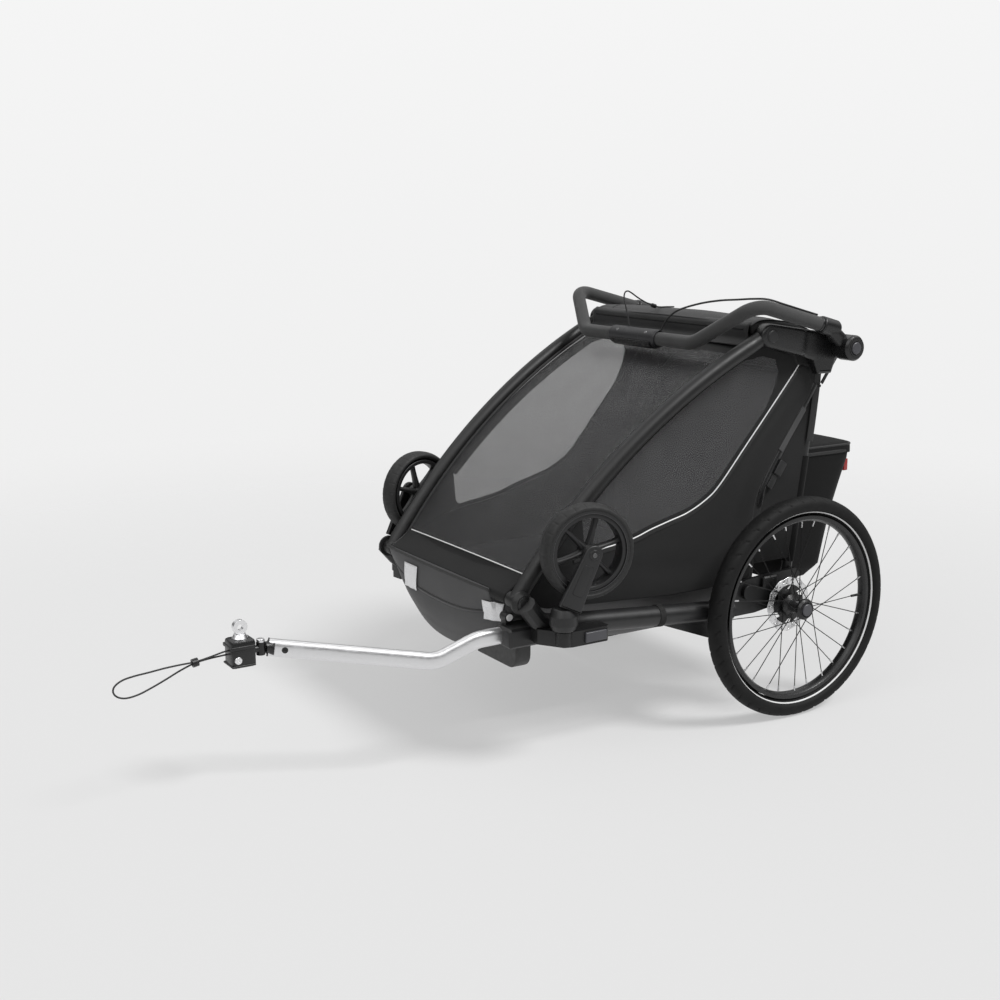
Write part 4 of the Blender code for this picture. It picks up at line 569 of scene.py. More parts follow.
def grained_plastic(name, tone, roughness, tint=1.04, grain=900):
    """Moulded plastic: a pebbled grain from scattered cells, duller in its hollows."""
    look = Look(name, (tone, tone, tone * tint), roughness)
    look.mottle(look.noise(28, 4), 0.08)
    look.polish(look.noise(300, 2), 0.06)
    return look.relief(look.cells(grain), 0.00010, 0.5).made


def woven_cloth(name, tone, pitch, roughness=0.88, puckers=0.0, shine=0.5):
    """Woven polyester: crossing threads in relief, with a painted highlight that makes their crowns lighter, and slow
    random blotches of tone.
    """
    look = Look(name, (tone, tone, tone * 1.02), roughness, sheen_weight=0.24 * shine, sheen_roughness=0.45)
    look.shader.inputs["Specular IOR Level"].default_value = shine
    threads = look.weave(pitch)
    blotch = look.noise(9, 4)
    # Base colour is lighter where the threads rise: a painted highlight on their crowns, mixed with random blotches of
    # tone.
    both = look.math("MULTIPLY_ADD", threads, 0.35, look.math("MULTIPLY", blotch, 0.65))
    look.mottle(both, 0.22)
    height = look.math("MULTIPLY_ADD", look.noise(45, 3), puckers, look.math("MULTIPLY", threads, 0.12))
    return look.relief(height, 0.0012, 0.6).made


def tinted_film(name, tone, alpha, mesh_pitch=0.0):
    """Smoked window film, or a fine mesh laid over it: the threads are solid and the holes let light by."""
    look = Look(name, (tone, tone, tone * 1.02), 0.42, alpha=alpha)
    if mesh_pitch:
        look.feed("Alpha", look.spread(look.weave(mesh_pitch), 0.30, 0.80, 0.62, alpha))
        look.polish(look.noise(12, 3), 0.05)
    else:
        look.polish(look.noise(12, 3), 0.08)
        look.relief(look.noise(6, 2, stretch=(1, 1.6, 0.7)), 0.012, 0.35)
    look.mottle(look.noise(10, 3), 0.10)
    return look.made


TUBE = coated_tube("tube_powder_coat", 0.015, 0.34)
FRAME_TUBE = coated_tube("frame_tube_powder_coat", 0.0040, 0.46)
PLASTIC = grained_plastic("black_moulded_plastic", 0.012, 0.42)
SMOOTH_PLASTIC = grained_plastic("smooth_black_plastic", 0.010, 0.30, grain=2200)
SLATE = grained_plastic("slate_plastic", 0.062, 0.38, 1.12)
CORNER_PLASTIC = grained_plastic("corner_plastic", 0.0055, 0.48)
HOUSING = grained_plastic("housing_plastic", 0.017, 0.48, 1.12, 1400)
CABIN_CLOTH = woven_cloth("cabin_cloth", 0.0065, 0.0012, 0.80, 0.04, 0.40)
HULL_CLOTH = woven_cloth("hull_cloth", 0.058, 0.0022, 0.62, 0.25)
ROOF_CLOTH = woven_cloth("roof_cloth", 0.022, 0.0014, 0.62, 0.20)
COVER_CLOTH = woven_cloth("cover_cloth", 0.0040, 0.0014, 0.70, 0.20, 0.28)
SEAT_CLOTH = woven_cloth("seat_cloth", 0.006, 0.0016, 0.92, 0.08, 0.20)
BAG_CLOTH = woven_cloth("bag_cloth", 0.0030, 0.0016, 0.90, 0.12, 0.28)
BINDING = woven_cloth("binding_tape", 0.0085, 0.0010, 0.60)
WEBBING = woven_cloth("grey_webbing", 0.055, 0.0018, 0.70)
print("first finishes made")

# %% Metals, rubber, foam and trim
def brushed_metal(name, tone, roughness, stretch, scratch=0.00003):
    """Metal with fine scratches drawn out along one direction."""
    look = Look(name, (tone, tone, tone * 1.01), roughness, 1.0)
    lines = look.noise(260, 4, stretch=stretch)
    look.mottle(lines, 0.04)
    look.polish(lines, 0.07)
    return look.relief(lines, scratch, 0.5).made


def rubber(name, tone, roughness=0.72):
    """Rubber with a cloudy tone and the fine pits of its mould."""
    look = Look(name, (tone, tone, tone), roughness)
    look.mottle(look.noise(55, 5), 0.18)
    look.polish(look.noise(90, 3), 0.08)
    return look.relief(look.noise(1500, 2), 0.00015, 0.5).made


def foam(name, tone):
    """Closed-cell foam: matt, with the pores that its skin shows."""
    look = Look(name, (tone, tone, tone), 0.80, sheen_weight=0.2, sheen_roughness=0.5)
    pores = look.cells(1300)
    look.mottle(look.noise(40, 4), 0.10)
    return look.relief(pores, 0.0003, 0.6).made


ALLOY = brushed_metal("satin_alloy", 0.78, 0.36, (1, 0.06, 1))
STEEL = brushed_metal("bright_steel", 0.86, 0.30, (0.2, 1, 1))
SPOKE_STEEL = brushed_metal("spoke_steel", 0.16, 0.34, (1, 1, 1))
BLACK = rubber("black_shadow_seam", 0.003, 0.80)
DARK_CAST = brushed_metal("dark_casting", 0.045, 0.46, (1, 1, 1), 0.0001)
BLACK_STEEL = brushed_metal("black_spoke_steel", 0.030, 0.36, (1, 1, 1))
RUBBER = rubber("tyre_rubber", 0.012, 0.66)
PAD_RUBBER = rubber("pad_rubber", 0.030, 0.50)
FOAM = foam("grip_foam", 0.042)
CORD = woven_cloth("cord_sheath", 0.022, 0.0008, 0.70)
CABLE = rubber("cable_jacket", 0.014, 0.35)
WHITE = Look("white_plastic", (0.93, 0.93, 0.93), 0.38)
WHITE = WHITE.mottle(WHITE.noise(60, 3), 0.03).relief(WHITE.noise(1500, 2), 0.0001, 0.3).made
PIPING = Look("reflective_piping", (0.95, 0.95, 0.95), 0.42)
PIPING = PIPING.mottle(PIPING.noise(700, 2), 0.04).relief(PIPING.weave(0.0009), 0.0002, 0.5).made
PATCH = Look("reflective_patch", (0.88, 0.88, 0.89), 0.34, 0.10)
PATCH = PATCH.mottle(PATCH.noise(400, 3), 0.12).relief(PATCH.cells(700), 0.0002, 0.5).made
RED = Look("red_reflector", (0.35, 0.012, 0.010), 0.18, coat_weight=0.6, coat_roughness=0.05)
RED = RED.relief(RED.cells(420), 0.0008, 0.6).made
FRONT_FILM = tinted_film("front_window_mesh", 0.066, 0.16, 0.0047)
# The side film's light grey base tone is partly the film's own smoky grey and partly a painted sheen.
SIDE_FILM = tinted_film("side_window_film", 0.155, 0.28)
print("all finishes made")

# %% [markdown]
# The tyre's rubber also carries a white ring on its side wall. The ring is a band of radius about the
# axle, read from Object coordinates, so it stays thin and round however fine the mesh is.

# %% A tyre with a ring
def ringed_rubber(name, centre_y, centre_z, low, high):
    """Tyre rubber that is white between two radii about an axle."""
    look = Look(name, (0.018, 0.018, 0.018), 0.68)
    look.shader.inputs["Specular IOR Level"].default_value = 0.25
    _, y, z = look.split(look.coords["Object"])
    across = look.math("POWER", look.math("SUBTRACT", y, centre_y), 2.0)
    up = look.math("POWER", look.math("SUBTRACT", z, centre_z), 2.0)
    radius = look.math("SQRT", look.math("ADD", across, up))
    ring = look.math("MULTIPLY", look.math("GREATER_THAN", radius, low), look.math("LESS_THAN", radius, high))
    tone = look.math("MULTIPLY_ADD", look.noise(55, 5), 0.2, look.math("MULTIPLY", ring, 0.8))
    look.vary(tone, [(0.06, (0.004, 0.004, 0.004)), (0.16, (0.008, 0.008, 0.008)), (0.80, (0.80, 0.80, 0.80))])
    return look.relief(look.noise(1500, 2), 0.00015, 0.5).made


RING_LOW, RING_HIGH = 0.2184, 0.2206
WHEEL_RUBBER = ringed_rubber("ringed_tyre_rubber", AXLE_Y, TYRE_RADIUS, RING_LOW, RING_HIGH)
print("ring from", RING_LOW, "to", RING_HIGH, "m")

# %% [markdown]
# ## The cords
# A thin leash loops forward from the coupling, goes round the bicycle's frame and returns through a
# cord lock. A wrist strap hangs from the handlebar's housing over the roof. Both keep the routes that
# their plain solids have in the frame.

# %% Leash and wrist strap
CORD_RADIUS = 0.00175
LEASH_ROUTE = np.array([
    (0.0925, -1.2475, 0.2930), (0.0925, -1.2600, 0.2915), (0.0925, -1.2850, 0.2865),
    (0.0925, -1.3140, 0.2820), (0.0930, -1.3450, 0.2815), (0.0940, -1.3750, 0.2805),
    (0.0960, -1.4050, 0.2785), (0.0970, -1.4350, 0.2765), (0.0960, -1.4570, 0.2720),
    (0.0930, -1.4710, 0.2620), (0.0900, -1.4735, 0.2500), (0.0880, -1.4660, 0.2390),
    (0.0870, -1.4500, 0.2330), (0.0860, -1.4260, 0.2350), (0.0860, -1.3990, 0.2440),
    (0.0865, -1.3700, 0.2560), (0.0870, -1.3430, 0.2680), (0.0878, -1.3140, 0.2780),
    (0.0878, -1.2850, 0.2820), (0.0878, -1.2600, 0.2835), (0.0878, -1.2475, 0.2840),
]) + (0, AXLE_Y, 0)
STRAP_ROUTE = np.array([
    (-0.030, -0.2000, 0.8660), (-0.031, -0.2010, 0.8800), (-0.036, -0.2040, 0.9050),
    (-0.043, -0.2050, 0.9280), (-0.047, -0.2000, 0.9400), (-0.050, -0.1900, 0.9430),
    (-0.053, -0.1760, 0.9380), (-0.055, -0.1550, 0.9260), (-0.056, -0.1300, 0.9140),
    (-0.056, -0.1080, 0.9060), (-0.056, -0.0900, 0.9024), (-0.054, -0.0700, 0.9022),
    (-0.052, -0.0500, 0.9016),
]) + (0, AXLE_Y, 0)


def path_length(path):
    """Length of a polyline."""
    return float(np.linalg.norm(np.diff(path, axis=0), axis=1).sum())


def cord_tube(name, route, radius, spacing=0.004, sides=12):
    """A round cord swept along a smooth route, with the path that it follows."""
    path = smooth_path(route, spacing)
    return sweep(name, path, ellipse(radius, radius, sides), up=(1, 0.05, 0.02)), path


leash_lock = refined("leash_lock", 0.0012)
add_piece(leash_lock, "coupling", "black_plastic", SMOOTH_PLASTIC, "leash_lock")
leash, leash_path = cord_tube("leash_cord", LEASH_ROUTE, CORD_RADIUS)
add_piece(leash, "coupling", "cord_black", CORD, "leash")
strap_lock = refined("strap_lock", 0.0012)
add_piece(strap_lock, "handlebar", "black_plastic", SMOOTH_PLASTIC, "strap_lock")
strap, strap_path = cord_tube("wrist_cord", STRAP_ROUTE, CORD_RADIUS)
add_piece(strap, "handlebar", "cord_black", CORD, "wrist_strap")
print("leash", round(path_length(leash_path), 3), "m, wrist strap", round(path_length(strap_path), 3), "m")

# %% [markdown]
# ## Rear wheels
# Each wheel is a 20 inch one: a treaded tyre, a black rim, thin laced spokes with bright nipples, a hub
# with a press-to-release button and a ventilated disc. The tyre is a rounded section turned about the
# axle; the tread's slanted sipes are pressed in where a wave along the tread crosses the shoulder.

# %% Tyres
TYRE_SECTION = 40
SIPES = 44
SIPE_STEPS = 22
SIPE_DEPTH = 0.0019


def smooth_step(value, low, high):
    """Rises smoothly from 0 at low to 1 at high."""
    t = np.clip((value - low) / (high - low), 0, 1)
    return t * t * (3 - 2 * t)


def tyre_grid(name, centre, axis, outer, height, width, bead, count, steps, depth, slant, length):
    """A rounded tyre section turned about the axle. A sipe lies where the turn, moved by slant times the
    offset, is near a whole number of counts, and where the height on the section is near the shoulder."""
    turn = np.linspace(0, 2 * np.pi, TYRE_SECTION, endpoint=False) - np.pi / 2
    rise, across = np.sin(turn), np.cos(turn)
    radius = outer - height / 2 + height / 2 * signed_power(rise, 0.86)
    offset = width / 2 * signed_power(across, 0.82)
    narrow = smooth_step(-rise, 0.1, 1.0)
    offset = offset * (1 - narrow * (1 - bead / (width / 2)))
    around = np.linspace(0, count, count * steps, endpoint=False)[:, None]
    hand = np.where(offset > 0, 0.0, 0.5)
    wave = np.abs((around + slant * offset / width + hand + 0.5) % 1.0 - 0.5)
    groove = (1 - smooth_step(wave, 0.035, 0.085)) * smooth_step(rise, length[0], length[0] + 0.10)
    groove = groove * (1 - smooth_step(rise, length[1], length[1] + 0.03))
    shift = (-depth * groove, -depth * groove * np.sign(offset) * 0.6)
    return turned(name, np.stack([radius, offset], -1), centre, axis, count * steps, shift, closed=True)


for side, word in SIDES.items():
    tyre = tyre_grid("tyre_" + word, (side * WHEEL_X, AXLE_Y, TYRE_RADIUS), (side, 0, 0), TYRE_RADIUS, 0.041,
                     0.047, 0.0130, SIPES, SIPE_STEPS, SIPE_DEPTH, 1.5, (0.50, 0.93))
    add_piece(tyre, "rear_wheel_" + word, "tyre_rubber", WHEEL_RUBBER, "rear_tyre_" + word)
print("tyre:", len(tyre.data.polygons), "faces,", SIPES, "sipes a side")

# %% [markdown]
# The spokes are one array: each runs from a hub flange to the rim, leaving the flange at a slant so
# that leading and trailing spokes cross. A bright nipple sits on its outer end.

# %% Rims, spokes and hubs
SPOKES = 28
FLANGE_SHIFT = 0.022
RIM_INNER = 0.1972
RIM_PROFILE = [(0.2110, 0.0128), (0.2085, 0.0105), (0.2060, 0.0105), (0.2050, 0.0), (0.2060, -0.0105),
               (0.2085, -0.0105), (0.2110, -0.0128), (0.2085, -0.0130), (0.2030, -0.0126), (0.1985, -0.0070),
               (RIM_INNER, 0.0), (0.1985, 0.0070), (0.2030, 0.0126), (0.2085, 0.0130)]
HUB_PROFILE = [(0.0150, 0.0310), (0.0196, 0.0310), (0.0206, 0.0292), (0.0238, 0.0255), (0.0238, 0.0200),
               (0.0150, 0.0150), (0.0138, 0.0080), (0.0138, -0.0080), (0.0150, -0.0150), (0.0238, -0.0200),
               (0.0238, -0.0250), (0.0184, -0.0290), (0.0184, -0.0385), (0.0070, -0.0385), (0.0070, 0.0240),
               (0.0150, 0.0240)]


def bars(name, starts, ends, radius, sides=6, end_radius=None):
    """Many straight round bars at once, from arrays of their ends."""
    starts, ends = np.asarray(starts, float), np.asarray(ends, float)
    ahead = unit(ends - starts)
    side = unit(np.cross(ahead, np.where(np.abs(ahead[:, :1]) > 0.9, (0.0, 0.0, 1.0), (1.0, 0.0, 0.0))))
    rise = np.cross(side, ahead)
    turn = np.linspace(0, 2 * np.pi, sides, endpoint=False)
    ring = np.cos(turn)[:, None] * side[:, None] + np.sin(turn)[:, None] * rise[:, None]
    end_radius = radius if end_radius is None else end_radius
    points = np.stack([starts[:, None] + radius * ring, ends[:, None] + end_radius * ring], 1).reshape(-1, 3)
    k = np.arange(sides)
    quad = np.stack([k, (k + 1) % sides, (k + 1) % sides + sides, k + sides], -1)
    base = np.arange(len(starts)) * 2 * sides
    quads = (base[:, None, None] + quad[None]).reshape(-1, 4).tolist()
    caps = [(b + k[::-1]).tolist() for b in base] + [(b + sides + k).tolist() for b in base]
    mesh = bpy.data.meshes.new(name)
    mesh.from_pydata(points.tolist(), [], quads + caps)
    mesh.uv_layers.new(name="metres")
    return settled(bpy.data.objects.new(name, mesh))


def spoke_ends(side):
    """Feet on the flanges and heads at the rim for all spokes."""
    index = np.arange(SPOKES)
    turn = 2 * np.pi * index / SPOKES
    flange = np.where(index % 2, 1, -1)
    lead = np.where((index // 2) % 2, 1, -1)
    foot_turn = turn + lead * math.radians(62)
    foot = np.stack([side * WHEEL_X + flange * FLANGE_SHIFT + lead * 0.0019, AXLE_Y + 0.0205 * np.cos(foot_turn),
                     TYRE_RADIUS + 0.0205 * np.sin(foot_turn)], -1)
    head = np.stack([side * WHEEL_X + flange * 0.003, AXLE_Y + RIM_INNER * np.cos(turn),
                     TYRE_RADIUS + RIM_INNER * np.sin(turn)], -1)
    return foot, head


for side, word in SIDES.items():
    body, centre = "rear_wheel_" + word, (side * WHEEL_X, AXLE_Y, TYRE_RADIUS)
    rim = turned("rim_" + word, RIM_PROFILE, centre, (side, 0, 0), 180)
    add_piece(rim, body, "black_plastic", SMOOTH_PLASTIC, "wheel_rim_" + word)
    hub = turned("hub_" + word, softened(HUB_PROFILE, 0.0012, 3), centre, (side, 0, 0), 64)
    add_piece(hub, body, "black_plastic", SMOOTH_PLASTIC)
    foot, head = spoke_ends(side)
    add_piece(bars("spokes_" + word, foot, head, 0.00105), body, "steel", BLACK_STEEL)
    inward = unit(foot - head)
    nipples = bars("nipples_" + word, head + inward * 0.0005, head + inward * 0.0130, 0.0021, 8, 0.0017)
    add_piece(nipples, body, "silver", STEEL)
    valve = bars("valve_" + word, [(side * WHEEL_X, AXLE_Y + 0.1985, TYRE_RADIUS)],
                 [(side * WHEEL_X, AXLE_Y + 0.170, TYRE_RADIUS)], 0.0031, 12, 0.0029)
    add_piece(valve, body, "black_plastic", RUBBER)
    collar = turned("hub_ring_" + word, softened([(0.0166, 0.0309), (0.0186, 0.0309), (0.0186, 0.0322),
                                                  (0.0166, 0.0322)], 0.0004, 2), centre, (side, 0, 0), 48)
    add_piece(collar, body, "black_plastic", SMOOTH_PLASTIC)
    button = turned("release_button_" + word, softened([(0, 0.0346), (0.0122, 0.0350), (0.0142, 0.0335),
                                                        (0.0142, 0.0262), (0, 0.0262)], 0.0010, 4),
                    centre, (side, 0, 0), 48)
    add_piece(button, "wheel_button_" + word, "slate_plastic", SLATE, "wheel_button_" + word)
print(SPOKES, "spokes a wheel")

# %% [markdown]
# The disc is a flat polar grid with faces left out: round slots in the braking band, and six swept
# windows between it and the hub. Solidify gives the sheet its two millimetres.

# %% Brake discs
DISC_X = 0.3217
DISC_INNER, DISC_OUTER = 0.0187, 0.0622


def brake_disc(name, side):
    """Polar grid of rows (turn) and columns (radius); a face is kept unless a slot or a window is there."""
    rows, columns = 288, 40
    turn = np.linspace(0, 2 * np.pi, rows, endpoint=False)[:, None]
    radius = np.linspace(DISC_INNER, DISC_OUTER, columns)[None]
    rim_wave = 0.0011 * np.cos(12 * turn) * smooth_step(radius, 0.054, DISC_OUTER)
    y = AXLE_Y + (radius - 0.0004 + rim_wave) * np.cos(turn)
    z = TYRE_RADIUS + (radius - 0.0004 + rim_wave) * np.sin(turn)
    points = np.stack([np.full(y.shape, side * (DISC_X - 0.001)), y, z], -1)
    middle_turn = (turn + np.pi / rows) % (2 * np.pi)
    middle_radius = (radius[:, :-1] + radius[:, 1:]) / 2
    sector = (middle_turn * 6 / (2 * np.pi) + (middle_radius - 0.028) * 14) % 1.0
    window = (middle_radius > 0.0350) & (middle_radius < 0.0440) & (sector > 0.55) & (sector < 0.90)
    slot_turn = (middle_turn * 15 / (2 * np.pi) + (middle_radius - 0.053) * 26) % 1.0
    slot = (np.abs(middle_radius - 0.0562) < 0.0030) & (np.abs(slot_turn - 0.5) < 0.085)
    spot = (np.abs(middle_radius - 0.0496) < 0.0016) & (np.abs((slot_turn + 0.5) % 1.0 - 0.5) < 0.07)
    keep = ~(window | slot | spot)
    i, j = np.nonzero(keep)
    quads = np.stack([i * columns + j, i * columns + j + 1, (i + 1) % rows * columns + j + 1,
                      (i + 1) % rows * columns + j], -1)
    mesh = bpy.data.meshes.new(name)
    mesh.from_pydata(points.reshape(-1, 3).tolist(), [], quads.tolist())
    made = settled(bpy.data.objects.new(name, mesh), (1, 0, 0))
    bm = bmesh.new()
    bm.from_mesh(made.data)
    bmesh.ops.delete(bm, geom=[v for v in bm.verts if not v.link_faces], context="VERTS")
    bm.to_mesh(made.data)
    bm.free()
    return add_wall(made, 0.0018)


for side, word in SIDES.items():
    disc = add_piece(brake_disc("disc_" + word, side), "rear_wheel_" + word, "steel", STEEL, "brake_rotor_" + word)
    second_finish(disc, SMOOTH_PLASTIC, lambda at: np.hypot(at[:, 1] - AXLE_Y, at[:, 2] - TYRE_RADIUS) < 0.0450)
    add_piece(refined("swing_arm_" + word, 0.0015), "swing_arm_" + word, "silver", DARK_CAST, "swing_arm_" + word)
print("discs", round(2 * DISC_OUTER, 4), "m across")

# %% [markdown]
# ## Casters
# The stowed casters stand upside down on the front corners, toed out by twelve degrees. They are built
# like the rear wheels, about their own tilted axle: a tyre with blocks of tread, a rim whose edge carries
# a thin grey ring as a painted highlight, and six spokes that widen towards the hub.

# %% Caster wheels
CASTER_X, CASTER_Y, CASTER_Z = 0.352, -0.095, 0.459
CASTER_TOE = math.radians(12)
CASTER_RADIUS = 0.0985


def caster_axis(side):
    """The toed-out axle's direction, outwards."""
    return np.array((side * math.cos(CASTER_TOE), -math.sin(CASTER_TOE), 0.0))


def caster_spokes(name, side):
    """Six tapered spokes with an oval section, from the hub to the rim."""
    axis, centre = caster_axis(side), np.array((side * CASTER_X, CASTER_Y, CASTER_Z))
    along = np.array((-axis[1], axis[0], 0.0))
    made = []
    for k in range(6):
        turn = 2 * np.pi * (k + 0.25) / 6
        ray = along * math.cos(turn) + np.array((0, 0, math.sin(turn)))
        stations = np.linspace(0.013, 0.0720, 10)
        path = centre + stations[:, None] * ray
        share = (stations - stations[0]) / (stations[-1] - stations[0])
        wide = 0.0082 - 0.0030 * np.sin(np.pi * share * 0.85)
        thick = 0.0105 - 0.0030 * share
        ring = ellipse(1, 1, 20)[None] * np.stack([wide, thick], -1)[:, None]
        made.append(sweep("caster_spoke", path, ring, up=axis))
    return joined(name, made)


for side, word in SIDES.items():
    body, centre, axis = "caster_wheel_" + word, (side * CASTER_X, CASTER_Y, CASTER_Z), caster_axis(side)
    tyre = tyre_grid("caster_tread_" + word, centre, axis, CASTER_RADIUS, 0.018, 0.042, 0.0165, 26, 20, 0.0007,
                     0.0, (0.30, 0.98))
    add_piece(tyre, body, "tyre_rubber", RUBBER, "caster_tyre_" + word)
    rim = turned("caster_ring_" + word, softened([(0.0800, 0.0170), (0.0800, -0.0170), (0.0706, -0.0170),
                                                  (0.0695, 0.0), (0.0706, 0.0170)], 0.0018, 4),
                 centre, axis, 96)
    edge = turned("caster_edge_" + word, softened([(0.0870, 0.0168), (0.0870, 0.0196), (0.0795, 0.0190),
                                                   (0.0795, 0.0168)], 0.0010, 3), centre, axis, 96)
    hub = turned("caster_hub_" + word, softened([(0.0044, 0.0190), (0.0148, 0.0190), (0.0148, -0.0190),
                                                 (0.0044, -0.0190)], 0.0020, 4), centre, axis, 40)
    wheel = joined("caster_wheel_body_" + word, [rim, hub, caster_spokes("spokes", side)])
    add_piece(wheel, body, "black_plastic", PLASTIC, "caster_rim_" + word)
    add_piece(edge, body, "black_plastic", SMOOTH_PLASTIC)
    # A thin grey ring on the rim's edge is a painted highlight, in the grey webbing finish.
    line = turned("caster_rim_painted_highlight_" + word, softened([(0.0806, 0.0186), (0.0806, 0.0197), (0.0796, 0.0197),
                                                   (0.0796, 0.0186)], 0.0002, 2), centre, axis, 96)
    add_piece(line, body, "black_plastic", WEBBING)
print("casters", round(2 * CASTER_RADIUS, 3), "m across")

# %% [markdown]
# The fork is a single arm outboard of the wheel. It is a plate in the wheel's own turned plane, rising
# from a bowl about the swivel, with a panel let into its face and an axle screw at its top.

# %% Caster forks
SWIVEL_Y = -0.150
FORK_INNER, FORK_OUTER = 0.0262, 0.0378


def in_wheel_plane(obj, side):
    """Turns a mesh laid out as (offset, along, height) into the caster's plane, about its axle."""
    axis = caster_axis(side)
    along = side * np.array((-axis[1], axis[0], 0.0))
    coords = points_of(obj)
    return moved(obj, np.array((side * CASTER_X, CASTER_Y, CASTER_Z)) + coords[:, :1] * axis + coords[:, 1:2] * along
                 + coords[:, 2:] * np.array((0, 0, 1.0)))


LEAN = np.array((-0.42, -0.907))
RIGHT = np.array((0.907, -0.42))


def on_blade(down, across):
    """A place on the leaning blade, from the axle down and across it."""
    return LEAN * down + RIGHT * across


right_edge = smooth_path([on_blade(*at) for at in ((0.004, 0.0196), (0.050, 0.0212), (0.090, 0.0238),
                                                   (0.120, 0.0262))], 0.004)
left_edge = smooth_path([on_blade(*at) for at in ((0.120, -0.0250), (0.090, -0.0236), (0.050, -0.0214),
                                                  (0.004, -0.0196))], 0.004)
blade = np.concatenate([right_edge[::-1], arc((0, 0), 0.0195, -24, 154, 24), left_edge[::-1]])
inset = bent_path([on_blade(*at) for at in ((0.054, 0.0118), (0.088, 0.0118), (0.088, -0.0108), (0.024, -0.0108),
                                            (0.024, 0.0100), (0.054, 0.0118))], 0.005, 8)
for side, word in SIDES.items():
    body, axis = "caster_" + word, caster_axis(side)
    arm = in_wheel_plane(plate("fork_blade", blade, FORK_INNER, FORK_OUTER, 0.0040, 5, 0.002), side)
    bowl = turned("fork_bowl", softened([(0, 0.281), (0.0125, 0.281), (0.0125, 0.300), (0.0235, 0.3035),
                                         (0.0292, 0.316), (0.0286, 0.334), (0.0225, 0.350), (0, 0.354)], 0.0055, 6),
                  (side * CASTER_X, SWIVEL_Y, 0.0), (0, 0, 1), 64)
    add_piece(joined("fork_" + word, [arm, bowl]), body, "black_plastic", PLASTIC, "caster_fork_" + word)
    panel = in_wheel_plane(plate("fork_panel_" + word, inset, 0.0360, 0.0384, 0.0006, 3, 0.0015), side)
    add_piece(panel, body, "black_plastic", PLASTIC)
    seam = in_wheel_plane(plate("fork_panel_seam_" + word, inset, 0.0360, 0.0381, 0.0002, 2, 0.0015), side)
    middle = points_of(seam).mean(0)
    moved(seam, middle + (points_of(seam) - middle) * (1.0, 1.050, 1.028))
    add_piece(seam, body, "black_plastic", BLACK)
    hub_face = np.array((side * CASTER_X, CASTER_Y, CASTER_Z)) + axis * FORK_OUTER
    cap = turned("fork_boss_" + word, softened([(0, 0.0016), (0.0098, 0.0016), (0.0112, 0.0), (0, -0.002)], 0.0008, 3),
                 hub_face, axis, 40)
    add_piece(cap, body, "black_plastic", SMOOTH_PLASTIC)
    screw = turned("fork_screw_" + word, softened([(0, 0.0019), (0.0022, 0.0019), (0.0025, 0.0034), (0.0046, 0.0034),
                                                   (0.0051, 0.0014), (0, 0.0014)], 0.0003, 2), hub_face, axis, 24)
    add_piece(screw, body, "steel", SPOKE_STEEL)
    release = refined("caster_release_" + word, 0.0012)
    add_piece(release, "caster_release_" + word, "slate_plastic", SLATE, "caster_release_" + word)
print("forks done")

# %% [markdown]
# ## Chassis
# Two side tubes run from the rear castings to the front corners, five degrees nose-up, and a cross tube
# and a front bar tie them together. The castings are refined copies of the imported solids.

# %% Chassis tubes and castings
PITCH = math.radians(5)


def tube_height(y):
    """Height of a side tube's axis at a place along the trailer."""
    return 0.264 + (0.275 - y) * math.tan(PITCH)


for side, word in SIDES.items():
    path = np.array([(side * 0.303, y, tube_height(y)) for y in (-0.0995, 0.0, 0.10, 0.20, 0.275)])
    tube = sweep("chassis_tube_" + word, path, ellipse(0.0225, 0.0225, 40))
    add_piece(tube, "chassis", "black_tube", TUBE, "side_tube_" + word)
    ends = np.array([(side * 0.303, y, tube_height(y)) for y in (0.120, 0.1345)])
    ring = sweep("tube_ring_" + word, resampled(ends, 0.004), ellipse(0.0238, 0.0238, 40))
    add_piece(ring, "chassis", "black_plastic", BLACK)
    for node, look, edge in (("rear_corner_", PLASTIC, 0.0022), ("front_corner_", CORNER_PLASTIC, 0.0025)):
        add_piece(refined(node + word, edge, 3, 28), "chassis", "black_plastic", look, node + word)
across = np.linspace(-1, 1, 9)[:, None]
cross = sweep("rear_cross_tube", np.concatenate([across * 0.2835, 0 * across + 0.435, 0 * across + 0.262], 1),
              ellipse(0.016, 0.016, 32))
add_piece(cross, "chassis", "black_tube", TUBE, "cross_tube")
front = sweep("front_cross_bar", np.concatenate([across * 0.2505, 0 * across + KNOB[0], 0 * across + KNOB[1]], 1),
              ellipse(0.013, 0.013, 32))
add_piece(front, "chassis", "black_tube", TUBE, "front_bar")
for side, word in SIDES.items():
    knob = turned("hinge_knob_" + word, softened([(0, 0.0020), (0.0105, 0.0020), (0.0150, 0.0008), (0.0150, -0.002),
                                                  (0, -0.002)], 0.0008, 3),
                  (side * 0.3010, KNOB[0], KNOB[1]), (side, 0, 0), 40)
    add_piece(knob, "chassis", "black_plastic", SMOOTH_PLASTIC)
print("chassis done")

# %% [markdown]
# ## Folding front frame
# One bowed tube makes both uprights and the bar across the top. Its side view is a straight line from
# the knob to the knuckle with a parabola added square to it, and it leans outwards as it rises.

# %% Front frame
FRAME_BULGE = 0.056
FRAME_RADIUS = 0.017


def frame_point(share):
    """(y, z) on an upright: 0 at the knob, 1 at the knuckle."""
    share = np.asarray(share, float)[..., None]
    chord = KNUCKLE - KNOB
    across = unit(np.array((-chord[1], chord[0])))
    return KNOB + chord * share + across * 4 * FRAME_BULGE * share * (1 - share)


def frame_x(share):
    """How far out an upright's axis is."""
    return 0.268 + 0.037 * np.asarray(share, float)


def frame_out(share):
    """The upright's outward direction in side view."""
    ahead = unit(frame_point(np.asarray(share) + 0.01) - frame_point(np.asarray(share) - 0.01))
    return np.stack([-ahead[..., 1], ahead[..., 0]], -1)


def upright(side, shares, drop=0.0, inward=0.0):
    """A line along an upright, drop below its axis and inward of it."""
    at = frame_point(shares) - frame_out(shares) * drop
    return np.concatenate([side * (frame_x(shares) - inward)[:, None], at], 1)


